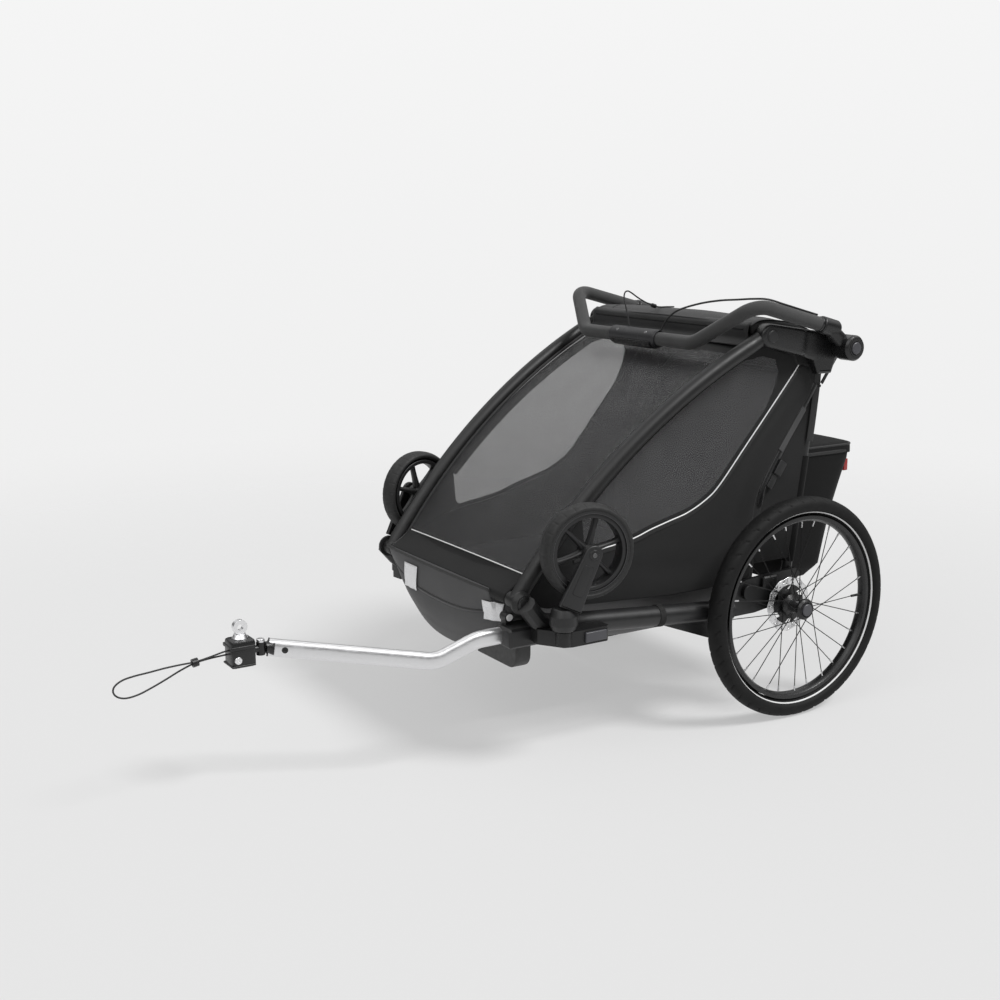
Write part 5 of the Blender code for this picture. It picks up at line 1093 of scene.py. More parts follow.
low = upright(1, np.linspace(0, 0.93, 40))
top_y, top_z = frame_point(1.0)
bend = bent_path([low[-1], (0.299, top_y, top_z), (0.15, top_y, top_z)], 0.050, 14)[1:-1]
half = np.concatenate([low, bend])
whole = np.concatenate([half, half[::-1] * (-1, 1, 1)])
frame_tube = sweep("front_frame_tube", resampled(whole, 0.008), ellipse(FRAME_RADIUS, FRAME_RADIUS, 36),
                   up=(0, 0.55, 0.84))
ends = [turned("frame_end", softened([(0, 0.0168), (0.0170, 0.0168), (0.0170, -0.0168), (0, -0.0168)], 0.002, 3),
               (side * 0.268, KNOB[0], KNOB[1]), (side, 0, 0), 40) for side in SIDES]
add_piece(joined("front_frame_body", [frame_tube] + ends), "front_frame", "black_tube", FRAME_TUBE, "front_tube")
print("front frame tube done")

# %% [markdown]
# The moulded arm runs from the knuckle to the handlebar's hub. Seen from the side it is an outline of
# two round ends with a socket for the seat strut under it; its thickness has generously rounded edges.

# %% Side arms
ARM_INNER, ARM_OUTER = 0.2865, 0.3205
ARM_STEP = 0.010

for side, word in SIDES.items():
    outline = np.concatenate([
        arc(KNUCKLE, 0.026, 78, 262), [(0.510, 0.812), (0.548, 0.800), (0.562, 0.769), (0.603, 0.769)],
        arc(BAR_HUB, 0.0275, -100, 78),
    ])
    arm = plate("side_arm_" + word, outline, ARM_INNER, ARM_OUTER, 0.008, 6)
    coords = points_of(arm)
    share = np.clip((coords[:, 0] - ARM_INNER) / (ARM_OUTER - ARM_INNER), 0, 1)
    coords[:, 0] -= ARM_STEP * share * smooth_step(coords[:, 1], 0.500, 0.524)
    coords[:, 0] *= side
    add_piece(moved(arm, coords), "front_frame", "black_plastic", SMOOTH_PLASTIC, "top_arm_" + word, angle=50)
    cap = turned("arm_pivot_" + word, softened([(0, 0.0032), (0.0120, 0.0030), (0.0160, 0.0), (0, -0.003)], 0.001, 3),
                 (side * ARM_OUTER, KNUCKLE[0] + 0.002, KNUCKLE[1] - 0.001), (side, 0, 0), 48)
    add_piece(cap, "front_frame", "black_plastic", PLASTIC)
    pin = bars("strut_pin_" + word, [(side * 0.2743, 0.584, 0.777)], [(side * 0.2885, 0.584, 0.777)], 0.005, 20)
    add_piece(pin, "front_frame", "steel", SPOKE_STEEL)
print("arms done")

# %% [markdown]
# ## Handlebar
# The push bar is a wide U in foam. Each end sits in a clamp on a turning barrel, whose face holds the
# slate button that frees it. The brake's housing wraps the middle of the crossbar.

# %% Bar, barrels, housing and lever
BAR_CLAMP = np.array((0.3305, 0.540, 0.882))
BAR_BEND = np.array((0.3305, 0.355, 0.931))
BAR_CROSS = np.array((0.202, 0.290, 0.843))
corners = np.array([BAR_CLAMP, BAR_BEND, BAR_CROSS])
route = bent_path(np.concatenate([corners, corners[::-1] * (-1, 1, 1)]), 0.048, 16)
bar = sweep("push_bar", resampled(route, 0.006), ellipse(0.0155, 0.0155, 36), up=(0, 0.7, 0.72))
add_piece(bar, "handlebar", "foam_grip", FOAM, "handlebar")
ahead = unit(BAR_CLAMP - BAR_BEND)
for side, word in SIDES.items():
    flip = np.array((side, 1, 1))
    start = BAR_CLAMP + ahead * 0.0003
    barrel = turned("hub_barrel_" + word, softened([
        (0, 0.0130), (0.0138, 0.0130), (0.0138, 0.0495), (0.0175, 0.0520), (0.0245, 0.0520), (0.0285, 0.0470),
        (0.0285, 0.0140), (0.0270, 0.0115), (0.0238, 0.0110), (0.0238, 0.0), (0, 0.0)], 0.0012, 3),
        (side * 0.3108, *BAR_HUB), (side, 0, 0), 64)
    sleeve = turned("hub_sleeve", softened([(0, 0), (0.0175, 0), (0.0193, 0.003), (0.0193, 0.046), (0.0170, 0.0500),
                                            (0, 0.0500)], 0.0015, 3), start * flip, ahead * flip, 40)
    neck_path = np.linspace(start + ahead * 0.024, (0.336, *BAR_HUB), 12) * flip
    neck = sweep("hub_neck", neck_path, ellipse(0.0165, 0.0150, 28), up=(1, 0, 0))
    add_piece(joined("bar_hub_body_" + word, [barrel, sleeve, neck]), "handlebar", "black_plastic", SMOOTH_PLASTIC,
              "bar_hub_" + word)
    ring = turned("hub_ring_face_" + word, softened([(0.0150, 0.0515), (0.0150, 0.0530), (0.0186, 0.0530),
                                                     (0.0186, 0.0515)], 0.0005, 2),
                  (side * 0.3108, *BAR_HUB), (side, 0, 0), 64)
    add_piece(ring, "handlebar", "black_plastic", PLASTIC)
    button = turned("hub_button_" + word, softened([(0, 0.0040), (0.0118, 0.0040), (0.0134, 0.0025),
                                                    (0.0134, -0.0035), (0, -0.0035)], 0.0010, 4),
                    (side * 0.3625, *BAR_HUB), (side, 0, 0), 48)
    add_piece(button, "fold_button_" + word, "slate_plastic", SLATE, "fold_button_" + word)
    ferrule = turned("grip_end_" + word, softened([(0.0150, 0), (0.0166, 0), (0.0166, 0.006), (0.0150, 0.006)],
                                                  0.0008, 2), (BAR_CLAMP - ahead * 0.0062) * flip, ahead * flip, 40)
    add_piece(ferrule, "handlebar", "black_plastic", SMOOTH_PLASTIC)

shell = turned("brake_shell", softened([(0.0159, 0.085), (0.0159, -0.085), (0.0188, -0.085), (0.0205, -0.080),
                                        (0.0205, -0.030), (0.0200, -0.029), (0.0200, 0.029), (0.0205, 0.030),
                                        (0.0205, 0.080), (0.0188, 0.085)], 0.0010, 3), (0, 0.290, 0.843), (1, 0, 0), 64)
add_piece(shell, "handlebar", "slate_plastic", HOUSING, "brake_housing")
for x in (-0.052, 0.052):
    direction = unit(np.array((0, -0.75, 0.66)))
    screw = turned("housing_screw", softened([(0, -0.002), (0, 0.0004), (0.0018, 0.0004), (0.0020, 0.0010),
                                              (0.0036, 0.0010), (0.0040, 0.0), (0.0040, -0.002)], 0.0003, 2),
                   np.array((x, 0.290, 0.843)) + direction * 0.0203, direction, 20)
    screw.name = "housing_screw_" + ("left" if x > 0 else "right")
    add_piece(screw, "handlebar", "steel", SPOKE_STEEL)
add_piece(refined("brake_lever", 0.0009), "brake_lever", "black_plastic", SMOOTH_PLASTIC, "brake_lever")

BRAKE_CABLE_ROUTE = np.array([
    (0.0853, -0.200, 0.8617), (0.0885, -0.200, 0.8622), (0.0945, -0.197, 0.8770), (0.1060, -0.192, 0.8930),
    (0.1300, -0.184, 0.9100), (0.1800, -0.167, 0.9260), (0.2300, -0.153, 0.9350),
    (0.2750, -0.140, 0.9390), (0.3030, -0.124, 0.9415), (0.3220, -0.098, 0.9405),
    (0.3303, -0.060, 0.9296), (0.3305, -0.010, 0.9163), (0.3305, 0.040, 0.9032),
]) + (0, AXLE_Y, 0)
cable, cable_path = cord_tube("brake_cable_line", BRAKE_CABLE_ROUTE, 0.0022)
add_piece(cable, "handlebar", "cord_black", CABLE, "brake_cable")
print("brake cable", round(path_length(cable_path), 3), "m")

# %% [markdown]
# ## The cabin's cloth and film
# The cabin is a skin of sheets: a front cover with a window, a side window above a side panel, a roof
# and a hammock floor. Each is one grid between two edge curves, with shallow waves added square to it,
# and Solidify gives it a wall.

# %% A maker for sheets
def grid_area(points):
    """Area of a grid, from the crossed diagonals of its cells."""
    across, down = points[1:, 1:] - points[:-1, :-1], points[1:, :-1] - points[:-1, 1:]
    return float(np.linalg.norm(np.cross(across, down), axis=-1).sum() / 2)


def add_sheet(name, points, wall, outward, held, rests_on, body, slot, look, *nodes):
    """A sheet of cloth over a grid, given a wall and shown as a piece."""
    made = add_wall(grid_object(name, points, outward=outward), wall)
    add_piece(made, body, slot, look, *nodes, angle=60)
    return made


def spanned(line, half, v, out=(0.0, 0.0), crown=0.0):
    """A grid from side to side over a (y, z) line: v runs from -1 to 1 and half is the half width. The
    middle is raised along out by crown times one minus v squared."""
    rise = (crown * (1 - v ** 2))[None, :, None]
    height = line[:, None] + np.broadcast_to(out, line.shape)[:, None] * rise
    width = v[None] * np.broadcast_to(half, len(line))[:, None]
    return np.concatenate([width[..., None], height], -1)


def ripples(points, direction, height, u_waves, v_waves, phase=0.0):
    """Adds slow waves along a direction: a few sines over the grid, damped to nothing at its edges."""
    rows, columns = points.shape[:2]
    u = np.linspace(0, 1, rows)[:, None]
    v = np.linspace(0, 1, columns)[None]
    calm = np.sin(np.pi * u) ** 0.6 * np.sin(np.pi * v) ** 0.6
    wave = (np.sin(2 * np.pi * (u_waves * u + 0.3 * v) + phase)
            + np.sin(2 * np.pi * (v_waves * v - 0.4 * u) + 2 * phase)
            + 0.5 * np.sin(2 * np.pi * (u_waves * 1.7 * u + v_waves * 1.3 * v) + 3 * phase))
    return points + (calm * wave * height / 2.5)[..., None] * np.asarray(direction)


def ruled(lower, upper, rows, columns):
    """A grid of straight lines from one edge curve to another, even along each."""
    first, second = resampled(lower, count=rows), resampled(upper, count=rows)
    share = np.linspace(0, 1, columns)[None, :, None]
    return first[:, None] * (1 - share) + second[:, None] * share


# %% Front cover
COVER_LOW, COVER_HIGH = 0.035, 0.950
shares = np.linspace(COVER_LOW, COVER_HIGH, 110)
v = np.linspace(-1, 1, 70)
out = frame_out(shares)
middle = frame_point(shares) - out * 0.0055
half = frame_x(shares) - FRAME_RADIUS - 0.0006
cover = ripples(spanned(middle, half, v, out, 0.006), (0, -0.6, 0.8), 0.0016, 1.3, 1.1, 0.7)
front_window = add_sheet("front_window", cover, 0.0016, (0, -0.7, 0.7), "stretched", ["front_frame_body"],
                         "front_frame", "tinted_film", FRONT_FILM, "front_cover")
FLAP_SHARE = 0.072
flap_line, band_line = frame_point(FLAP_SHARE), frame_point(0.895)
chord = unit(KNUCKLE - KNOB)


def cover_border(at):
    """Faces below the flap's seam, above the top band and beside the uprights."""
    up = (at[:, 1:] - KNOB) @ chord
    share = np.clip(up / np.linalg.norm(KNUCKLE - KNOB), 0, 1)
    beside = np.abs(at[:, 0]) > frame_x(share) - FRAME_RADIUS - 0.0085
    return (up < (flap_line - KNOB) @ chord) | (up > (band_line - KNOB) @ chord) | beside


second_finish(front_window, COVER_CLOTH, cover_border)


def ribbon(name, path, across, width, thick, body, look, slot="black_fabric"):
    """A flat band centred on a path; across is its width's direction at each point of the path."""
    path = np.asarray(path, float)
    across = unit(np.broadcast_to(np.asarray(across, float), path.shape))
    ahead = unit(np.gradient(path, axis=0))
    across = unit(across - np.sum(across * ahead, -1, keepdims=True) * ahead)
    up = np.cross(ahead, across)
    turn = np.linspace(0, 2 * np.pi, 20, endpoint=False)
    side = width / 2 * signed_power(np.cos(turn), 0.5)
    rise = thick / 2 * signed_power(np.sin(turn), 0.8)
    points = path[:, None] + side[None, :, None] * across[:, None] + rise[None, :, None] * up[:, None]
    return add_piece(grid_object(name, points, close_columns=True, caps=True), body, slot, look)


for side, word in SIDES.items():
    line = np.linspace(COVER_LOW, 0.93, 60)
    at = upright(side, line, drop=0.0035, inward=FRAME_RADIUS + 0.0048)
    ribbon("cover_hem_" + word, at, (1, 0, 0), 0.0085, 0.0036, "front_frame", BINDING)
row = int(np.argmin(np.abs(shares - FLAP_SHARE)))
seam = cover[row, 2:-2] + frame_out(shares[row]) @ np.array([(0, 1, 0), (0, 0, 1)]) * 0.0020
add_piece(sweep("cover_piping", resampled(seam, 0.006), ellipse(0.0013, 0.0013, 14)), "front_frame",
          "white_plastic", PIPING)

# %% [markdown]
# Below the piping the cover is plain cloth. It runs down over the front bar and wraps it, about the same
# axis that the frame folds on, so it stays round the bar when the frame swings.

# %% Flap and top band
WRAP = 0.0148
out0 = frame_out(0.0)
wrap_start = math.degrees(math.atan2(out0[1], out0[0]))
fold = np.concatenate([
    [frame_point(FLAP_SHARE) - frame_out(FLAP_SHARE) * 0.0036, frame_point(0.045) + frame_out(0.045) * 0.0015],
    arc(KNOB, WRAP, wrap_start - 8, 212, 18),
])
line = smooth_path(fold, 0.003)
v = np.linspace(-1, 1, 80)
width_at = np.interp(np.arange(len(line)), [0, 6, len(line)], [0.2525, 0.2490, 0.2485])
flap = ripples(spanned(line, width_at, v), (0, -0.6, 0.6), 0.0008, 1.1, 2.6, 0.3)
add_sheet("cover_flap", flap, 0.0014, (0, -0.8, 0.5), "hung", ["front_window"], "front_frame", "black_fabric",
          COVER_CLOTH)
print("flap wraps from", round(wrap_start - 8), "to 212 degrees")

line = smooth_path([cover[-3, 35, 1:] + (-0.0022, 0.0012), (0.3705, 0.853), (0.3712, 0.868), (0.3745, 0.8835),
                    (0.384, 0.8905)], 0.003)
half = np.linspace(cover[-3, -1, 0], 0.2850, len(line))
band = ripples(spanned(line, half, v), (0, -1, 0.2), 0.0012, 0.9, 2.3, 1.3)
add_sheet("cover_top_band", band, 0.0016, (0, -1, 0.2), "stretched", ["front_window", "front_frame_body"],
          "front_frame", "black_fabric", ROOF_CLOTH)
row = int(np.argmin(np.abs(band[:, 40, 2] - 0.874)))
ribbon("cover_top_seam", band[row, 2:-2] + (0, -0.0012, 0.0), (0, 0.3, 1), 0.0036, 0.0018, "front_frame", BLACK)
print("cover done")

# %% [markdown]
# The side window fills the space between a white piping line and the upright. The line starts behind
# the knuckle, drops steeply and sweeps forward. The panel below it runs down to the side tube and up
# behind the seat.

# %% Side windows and panels
PIPING_LINE = np.array([
    (0.036, 0.789), (0.021, 0.770), (-0.040, 0.698), (-0.108, 0.619), (-0.178, 0.538), (-0.215, 0.509),
    (-0.263, 0.486), (-0.312, 0.473), (-0.361, 0.460), (-0.401, 0.447), (-0.451, 0.438), (-0.502, 0.431),
    (-0.556, 0.421),
]) + (AXLE_Y, 0)
PANEL_LOW = np.array([
    (0.052, 0.790), (0.0784, 0.7335), (0.0305, 0.6643), (-0.0611, 0.5226), (-0.082, 0.430), (-0.080, 0.316),
    (-0.135, 0.314), (-0.150, 0.3085), (-0.300, 0.306), (-0.535, 0.318), (-0.620, 0.322), (-0.675, 0.340),
]) + (AXLE_Y, 0)
SIDE_PLANE_X = 0.2805
SIDE_PLANE_SLOPE = 0.030


def on_side(side, line, out=0.0):
    """Lifts a (y, z) line onto the side's slightly turned plane, out metres outside it."""
    line = np.asarray(line, float)
    x = SIDE_PLANE_X + SIDE_PLANE_SLOPE * (line[..., 0] - AXLE_Y) + out
    return np.concatenate([side * x[..., None], line], -1)


def rail_grid(rails, counts):
    """A grid through several edge curves with equal numbers of points, counts[k] steps from one to the next."""
    parts = [first[:, None] + (second - first)[:, None] * np.linspace(0, 1, n, endpoint=False)[None, :, None]
             for first, second, n in zip(rails, rails[1:], counts)]
    return np.concatenate(parts + [rails[-1][:, None]], 1)


piping = smooth_path(PIPING_LINE, 0.006)
foot = np.array([(-0.120, 0.402), (-0.178, 0.364)])
low_rail = np.concatenate([piping, foot])
share = np.linspace(0.955, 0.035, 60)
high_rail = np.concatenate([[(0.520, 0.806), (0.430, 0.8375)], frame_point(share) - frame_out(share) * 0.0095])
ahead = unit(np.gradient(piping, axis=0))
beside = piping + np.stack([ahead[:, 1], -ahead[:, 0]], -1) * 0.0095
film_low = np.concatenate([[(0.4700, 0.7780), (0.4625, 0.7480)],
                           beside[(beside[:, 0] < 0.440) & (beside[:, 0] > -0.034)], [(-0.0397, 0.4471)]])
below = frame_point(share) - frame_out(share) * 0.034
film_high = np.concatenate([[(0.4599, 0.8050), (0.4200, 0.8150)],
                            below[(below[:, 0] < 0.375) & (below[:, 0] > -0.042)], [(-0.0474, 0.5209)]])
END_ROWS, FILM_ROWS, BORDER, FILM_COLUMNS = 6, 80, 5, 44


def whole_rail(middle, share):
    """A film edge, led at both ends to a place on the sheet's own end edges."""
    middle = resampled(middle, count=FILM_ROWS)
    first = low_rail[0] * (1 - share) + high_rail[0] * share
    last = low_rail[-1] * (1 - share) + high_rail[-1] * share
    grow = np.linspace(0, 1, END_ROWS, endpoint=False)[:, None]
    return np.concatenate([first + (middle[0] - first) * grow, middle, (last + (middle[-1] - last) * grow)[::-1]])


def outer_rail(rail, at_start, at_end):
    """A sheet edge, with the film's rows spread over the middle part of its length."""
    along = np.concatenate([np.linspace(0, at_start, END_ROWS, endpoint=False),
                            np.linspace(at_start, at_end, FILM_ROWS), np.linspace(at_end, 1, END_ROWS + 1)[1:]])
    here = running_length(rail) / path_length(rail)
    return np.stack([np.interp(along, here, rail[:, k]) for k in range(2)], -1)


rails = [outer_rail(low_rail, 0.055, 0.865), whole_rail(film_low, 0.33), whole_rail(film_high, 0.67),
         outer_rail(high_rail, 0.075, 0.80)]
side_grid = rail_grid(rails, (BORDER, FILM_COLUMNS, BORDER))
roof_edge = np.array([(0.6015, 0.777), (0.598, 0.815), (0.565, 0.8575), (0.510, 0.8805), (0.450, 0.8915),
                      (0.405, 0.8925), (0.379, 0.8815)])
gusset_low = np.array([(0.598, 0.7755), (0.538, 0.7885), (0.526, 0.789), (0.520, 0.806), (0.430, 0.8375),
                       (0.392, 0.846)])
for side, word in SIDES.items():
    window = on_side(side, side_grid)
    window = ripples(window, (side, 0, 0), 0.0022, 1.2, 0.9, 1.9)
    pane = add_sheet("side_window_film_" + word, window, 0.0014, (side, 0, 0), "stretched", ["front_frame_body"],
                     "front_frame", "tinted_film", SIDE_FILM, "side_window_" + word)
    columns = window.shape[1] - 1
    pane.data.materials.append(CABIN_CLOTH)
    row, column = np.divmod(np.arange((window.shape[0] - 1) * columns), columns)
    film = (row >= END_ROWS) & (row < END_ROWS + FILM_ROWS - 1) & (column >= BORDER) & (column < BORDER + FILM_COLUMNS)
    print("window faces", len(pane.data.polygons), "grid faces", len(film))
    pane.data.polygons.foreach_set("material_index", np.resize(~film, len(pane.data.polygons)).astype(np.int32))
    gusset = ruled(on_side(side, gusset_low), on_side(side, roof_edge, 0.0045), 60, 12)
    add_sheet("roof_gusset_" + word, gusset, 0.0014, (side, 0, 0), "stretched", ["front_frame_body"], "front_frame",
              "black_fabric", CABIN_CLOTH)
    low = smooth_path(PANEL_LOW[:5], 0.01)
    bottom = np.concatenate([low, PANEL_LOW[5:]])
    panel = ruled(on_side(side, low_rail - (0, 0.0012)), on_side(side, bottom), 120, 60)
    panel = ripples(panel, (side, 0, 0), 0.0030, 2.3, 1.4, 0.4)
    cloth = add_wall(grid_object("side_panel_" + word, panel, outward=(side, 0, 0)), 0.0018)
    bpy.context.scene.collection.objects.link(cloth)
    cloth.data.shade_smooth()
    cloth.data.materials.append(CABIN_CLOTH)
    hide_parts("side_fabric_" + word)
    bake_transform(cloth)
    line = on_side(side, piping, 0.0022)
    cord = sweep("white_piping_" + word, resampled(line, 0.005), ellipse(0.0014, 0.0014, 14), up=(1, 0, 0))
    add_piece(cord, "front_frame", "white_plastic", PIPING)
    flange = on_side(side, piping + (0.0, -0.006), 0.0014)
    ribbon("piping_flange_" + word, flange, (0, 0.6, 0.8), 0.010, 0.0022, "front_frame", BINDING)
print("side windows and panels done")

# %% [markdown]
# ## Roof and floor
# The roof comes up from the cover's top seam, over the bar, and falls to the seat. The floor is a
# hammock: its depth swells from the end walls, and its cross section is a power curve, rounder in front.

# %% Roof
ROOF_LINE = np.array([(-0.112, 0.882), (-0.085, 0.893), (-0.040, 0.892), (0.020, 0.881), (0.075, 0.858),
                      (0.108, 0.815), (0.112, 0.775)]) + (AXLE_Y, 0)
line = smooth_path(ROOF_LINE, 0.004)
v = np.linspace(-1, 1, 80)
ahead = unit(np.gradient(line, axis=0))
out = np.stack([-ahead[:, 1], ahead[:, 0]], -1)
roof = ripples(spanned(line, 0.2858, v, out, 0.006), (0, 0, 1), 0.0016, 1.4, 2.1, 0.2)
add_sheet("roof_cloth", roof, 0.0018, (0, 0, 1), "stretched", ["front_frame_body"], "front_frame",
          "black_fabric", ROOF_CLOTH, "roof")
for k, column in (("left", 8), ("right", -9)):
    ribbon("roof_seam_" + k, roof[2:-2, column] + (0, 0, 0.0014), (1, 0, 0), 0.008, 0.0018, "front_frame", BINDING)

# %% Hammock floor
TUB_FRONT, TUB_REAR = -0.228, 0.389
TUB_TOP, TUB_LOW = 0.331, 0.190


def tub_half_width(y):
    """The hull's half width at its rim: inside the side cloth, and narrower at the front."""
    beside = SIDE_PLANE_X + SIDE_PLANE_SLOPE * (y - AXLE_Y) - 0.0019
    return np.minimum(np.minimum(beside, 0.2646), 0.246 + 0.14 * (y - TUB_FRONT))


SUNK_AT = np.array([0, 0.004, 0.010, 0.025, 0.06, 0.10, 0.25, 0.45, 0.65, 0.85, 0.975, 1.0])
SUNK = np.array([0.0, 0.48, 0.74, 0.92, 0.985, 1.0, 1.0, 1.0, 1.0, 1.0, 0.95, 0.0])
along = np.concatenate([[0, 0, 0, 0, 0], np.linspace(0, 0.03, 12), np.linspace(0.035, 0.96, 60),
                        np.linspace(0.97, 1, 8), [1, 1]])
sunk = np.interp(along, SUNK_AT, SUNK)
sunk[:5] = (0, 0.1, 0.2, 0.3, 0.4)
sunk[5:8] = np.maximum(sunk[5:8], (0.46, 0.56, 0.64))
sunk[-3:] = (0.62, 0.35, 0.0)
v = np.linspace(-1, 1, 90)
y = TUB_FRONT + along * (TUB_REAR - TUB_FRONT)
power = 2.4 + 3.6 * np.clip((along - 0.14) * 2.2, 0, 1)
bow = np.where(along < 0.1, -0.004 * np.sin(np.pi * sunk), 0)
corner_back = np.where(v > 0, 0.060, 0.022)
corner_wide = np.where(v < 0, 0.014, 0.0)[None] * np.clip(1 - along / 0.25, 0, 1)[:, None]
tub = np.stack([
    v[None] * (tub_half_width(y)[:, None] + corner_wide * np.abs(v)[None]),
    (y + bow)[:, None] + ((1 - along) ** 8)[:, None] * corner_back[None] * v[None] ** 4,
    TUB_TOP - (TUB_TOP - TUB_LOW) * sunk[:, None] * (1 - np.abs(v)[None] ** power[:, None]),
], -1)
hull = add_wall(grid_object("hammock_floor", tub, outward=(0, 0, -1)), 0.0035, -1.0)
add_piece(hull, "chassis", "black_fabric", HULL_CLOTH, "floor_tub", angle=60)
rows = np.linspace(0, 1, 14)[:, None]
u = np.linspace(0, 1, 70)
low_edge = np.stack([np.interp(u * 79, np.arange(90), tub[3, :, k]) for k in range(3)], -1) + (0, -0.0012, 0)
high_edge = np.stack([-0.262 + u * (low_edge[-1, 0] + 0.262), 0 * u - 0.2268, 0 * u + 0.3635], -1)
collar = high_edge[None] * (1 - rows[..., None]) + low_edge[None] * rows[..., None]
collar = collar + np.sin(np.pi * rows)[..., None] * np.array((0, -0.0022, 0))
collar = ripples(collar, (0, -1, 0), 0.0010, 0.8, 2.1, 0.9)
add_sheet("hull_collar", collar, 0.0016, (0, -1, 0), "stretched", ["front_cross_bar", "hammock_floor"], "chassis",
          "black_fabric", HULL_CLOTH)
ribbon("hull_top_hem", collar[1] + (0, -0.0012, 0), (0, 0, 1), 0.0075, 0.0026, "chassis", BINDING)
ribbon("hull_seam", collar[-2] + (0, -0.0012, 0), (0, 0, 1), 0.0040, 0.0016, "chassis", BINDING)


def onto(points, shells):
    """Moves points back along +Y onto the first of several grids."""
    trees = []
    for shell in shells:
        rows, columns = shell.shape[:2]
        i, j = np.meshgrid(np.arange(rows - 1), np.arange(columns - 1), indexing="ij")
        first = i * columns + j
        quads = np.stack([first, first + 1, first + columns + 1, first + columns], -1).reshape(-1, 4)
        trees.append(mathutils.bvhtree.BVHTree.FromPolygons(shell.reshape(-1, 3).tolist(), quads.tolist()))
    made = []
    for at in points.reshape(-1, 3):
        hits = [tree.ray_cast((at[0], -0.32, at[2]), (0, 1, 0)) for tree in trees]
        depths = [hit[0][1] for hit in hits if hit[0] is not None]
        made.append((at[0], min(depths) if depths else np.nan, at[2]))
    made = np.array(made)
    lost = np.isnan(made[:, 1])
    made[lost, 1] = np.nanmean(made[:, 1])
    return made.reshape(points.shape), int(lost.sum())


for k, (left, right, low, high) in (("far", (-0.165, -0.106, 0.289, 0.344)), ("near", (0.166, 0.209, 0.291, 0.333))):
    x, z = np.meshgrid(np.linspace(left, right, 22), np.linspace(high, low, 16))
    at, lost = onto(np.stack([x, 0 * x, z], -1), (collar, tub))
    at = at + (0, -0.0030, 0)
    at[..., 1] -= 0.0010 * np.cos(np.linspace(0, 4 * np.pi, 22))[None] * np.linspace(0, 1, 16)[:, None]
    patch = add_wall(grid_object("hull_patch_" + k, at, outward=(0, -1, 0)), 0.0010, 1.0)
    add_piece(patch, "chassis", "white_plastic", PATCH)
    print("patch", k, "points off the hull:", lost)
print("roof and floor done, hull", round(grid_area(tub), 3), "m2")

# %% [markdown]
# ## Seats
# The bench and the double backrest are padded. Each starts as a crowned block with sewn channels, and
# one formula shapes it: a superellipse gives the rounded section, and a cosine squeezes it along seams.

# %% Padded seats
def pad_surface(name, low, high, normal_axis, channels, seam, crown):
    """A closed cushion: a box superellipsoid whose faces are pressed in along evenly spaced channels."""
    low, high = np.asarray(low, float), np.asarray(high, float)
    middle, half = (low + high) / 2, (high - low) / 2
    lat = np.linspace(-np.pi / 2, np.pi / 2, 72)[:, None]
    lon = np.linspace(-np.pi, np.pi, 192, endpoint=False)[None]
    flat, tall = 0.16, 0.55
    ring = signed_power(np.cos(lat), tall)
    a = ring * signed_power(np.cos(lon), flat)
    b = ring * signed_power(np.sin(lon), flat)
    c = np.broadcast_to(signed_power(np.sin(lat), tall), a.shape)
    groove = sum(np.exp(-((a - place) / 0.016) ** 2) for place in channels)
    swell = c * (1 - seam * groove) * (1 - crown * (a ** 2 * 0.5 + b ** 2))
    axes = [k for k in range(3) if k != normal_axis]
    points = np.zeros(a.shape + (3,))
    points[..., axes[0]] = middle[axes[0]] + half[axes[0]] * a
    points[..., axes[1]] = middle[axes[1]] + half[axes[1]] * b
    points[..., normal_axis] = middle[normal_axis] + half[normal_axis] * swell
    return grid_object(name, points, close_columns=True)


bench = pad_surface("bench_pad", (-0.2130, 0.074, 0.2405), (0.2130, 0.372, 0.2685), 2,
                    (-0.66, -0.33, 0.0, 0.33, 0.66), 0.38, 0.10)
add_piece(bench, "chassis", "black_fabric", SEAT_CLOTH, "bench_cushion", angle=80)

rest = pad_surface("seat_back_pads", (-0.2345, -0.0104, 0.0), (0.2345, 0.0100, 0.478), 1,
                   (-0.74, -0.26, -0.02, 0.02, 0.26, 0.74), 0.45, 0.10)
coords = points_of(rest)
lean = np.array([(-0.084, 0.288), (-0.050, 0.498), (0.074, 0.724), (0.0915, 0.758)]) + (AXLE_Y, 0)
spine = resampled(smooth_path(lean, 0.004), count=120)
share = np.clip(coords[:, 2] / 0.478, 0, 1) * 119
at = np.stack([np.interp(share, np.arange(120), spine[:, k]) for k in range(2)], -1)
ahead = unit(np.gradient(spine, axis=0))
across = np.stack([np.interp(share, np.arange(120), ahead[:, 1]), -np.interp(share, np.arange(120), ahead[:, 0])], -1)
moved(rest, np.concatenate([coords[:, :1], at + coords[:, 1:2] * across], 1))
add_piece(rest, "back_frame", "black_fabric", SEAT_CLOTH, "seat_back", angle=80)
height = np.linspace(0.296, 0.803, 74)
depth = np.interp(height, spine[:, 1], spine[:, 0]) + 0.0142
depth = np.where(height > 0.770, 0.5985 - (height - 0.770) * 0.16, np.minimum(depth, 0.5985))
edge = PANEL_LOW[:6][::-1, ::-1]
edge_y = np.interp(height, edge[:, 0], edge[:, 1]) - 0.006
v = np.concatenate([np.linspace(-1, -0.94, 8), np.linspace(-0.93, 0.93, 54), np.linspace(0.94, 1, 8)])
turned_in = np.clip((np.abs(v) - 0.93) / 0.07, 0, 1)
side_x = SIDE_PLANE_X + SIDE_PLANE_SLOPE * (edge_y - AXLE_Y) - 0.0022
REAR_HALF = 0.267
returned = REAR_HALF + (side_x[:, None] - REAR_HALF) * np.sqrt(turned_in)[None]
x = np.sign(v)[None] * np.where(turned_in > 0, returned, np.abs(v)[None] / 0.93 * REAR_HALF)
y = depth[:, None] + (edge_y - depth)[:, None] * turned_in[None] ** 1.6
rear = np.stack([x, y, np.broadcast_to(height[:, None], x.shape)], -1)
rear = ripples(rear, (0, 1, 0), 0.0016, 1.6, 1.2, 0.5)
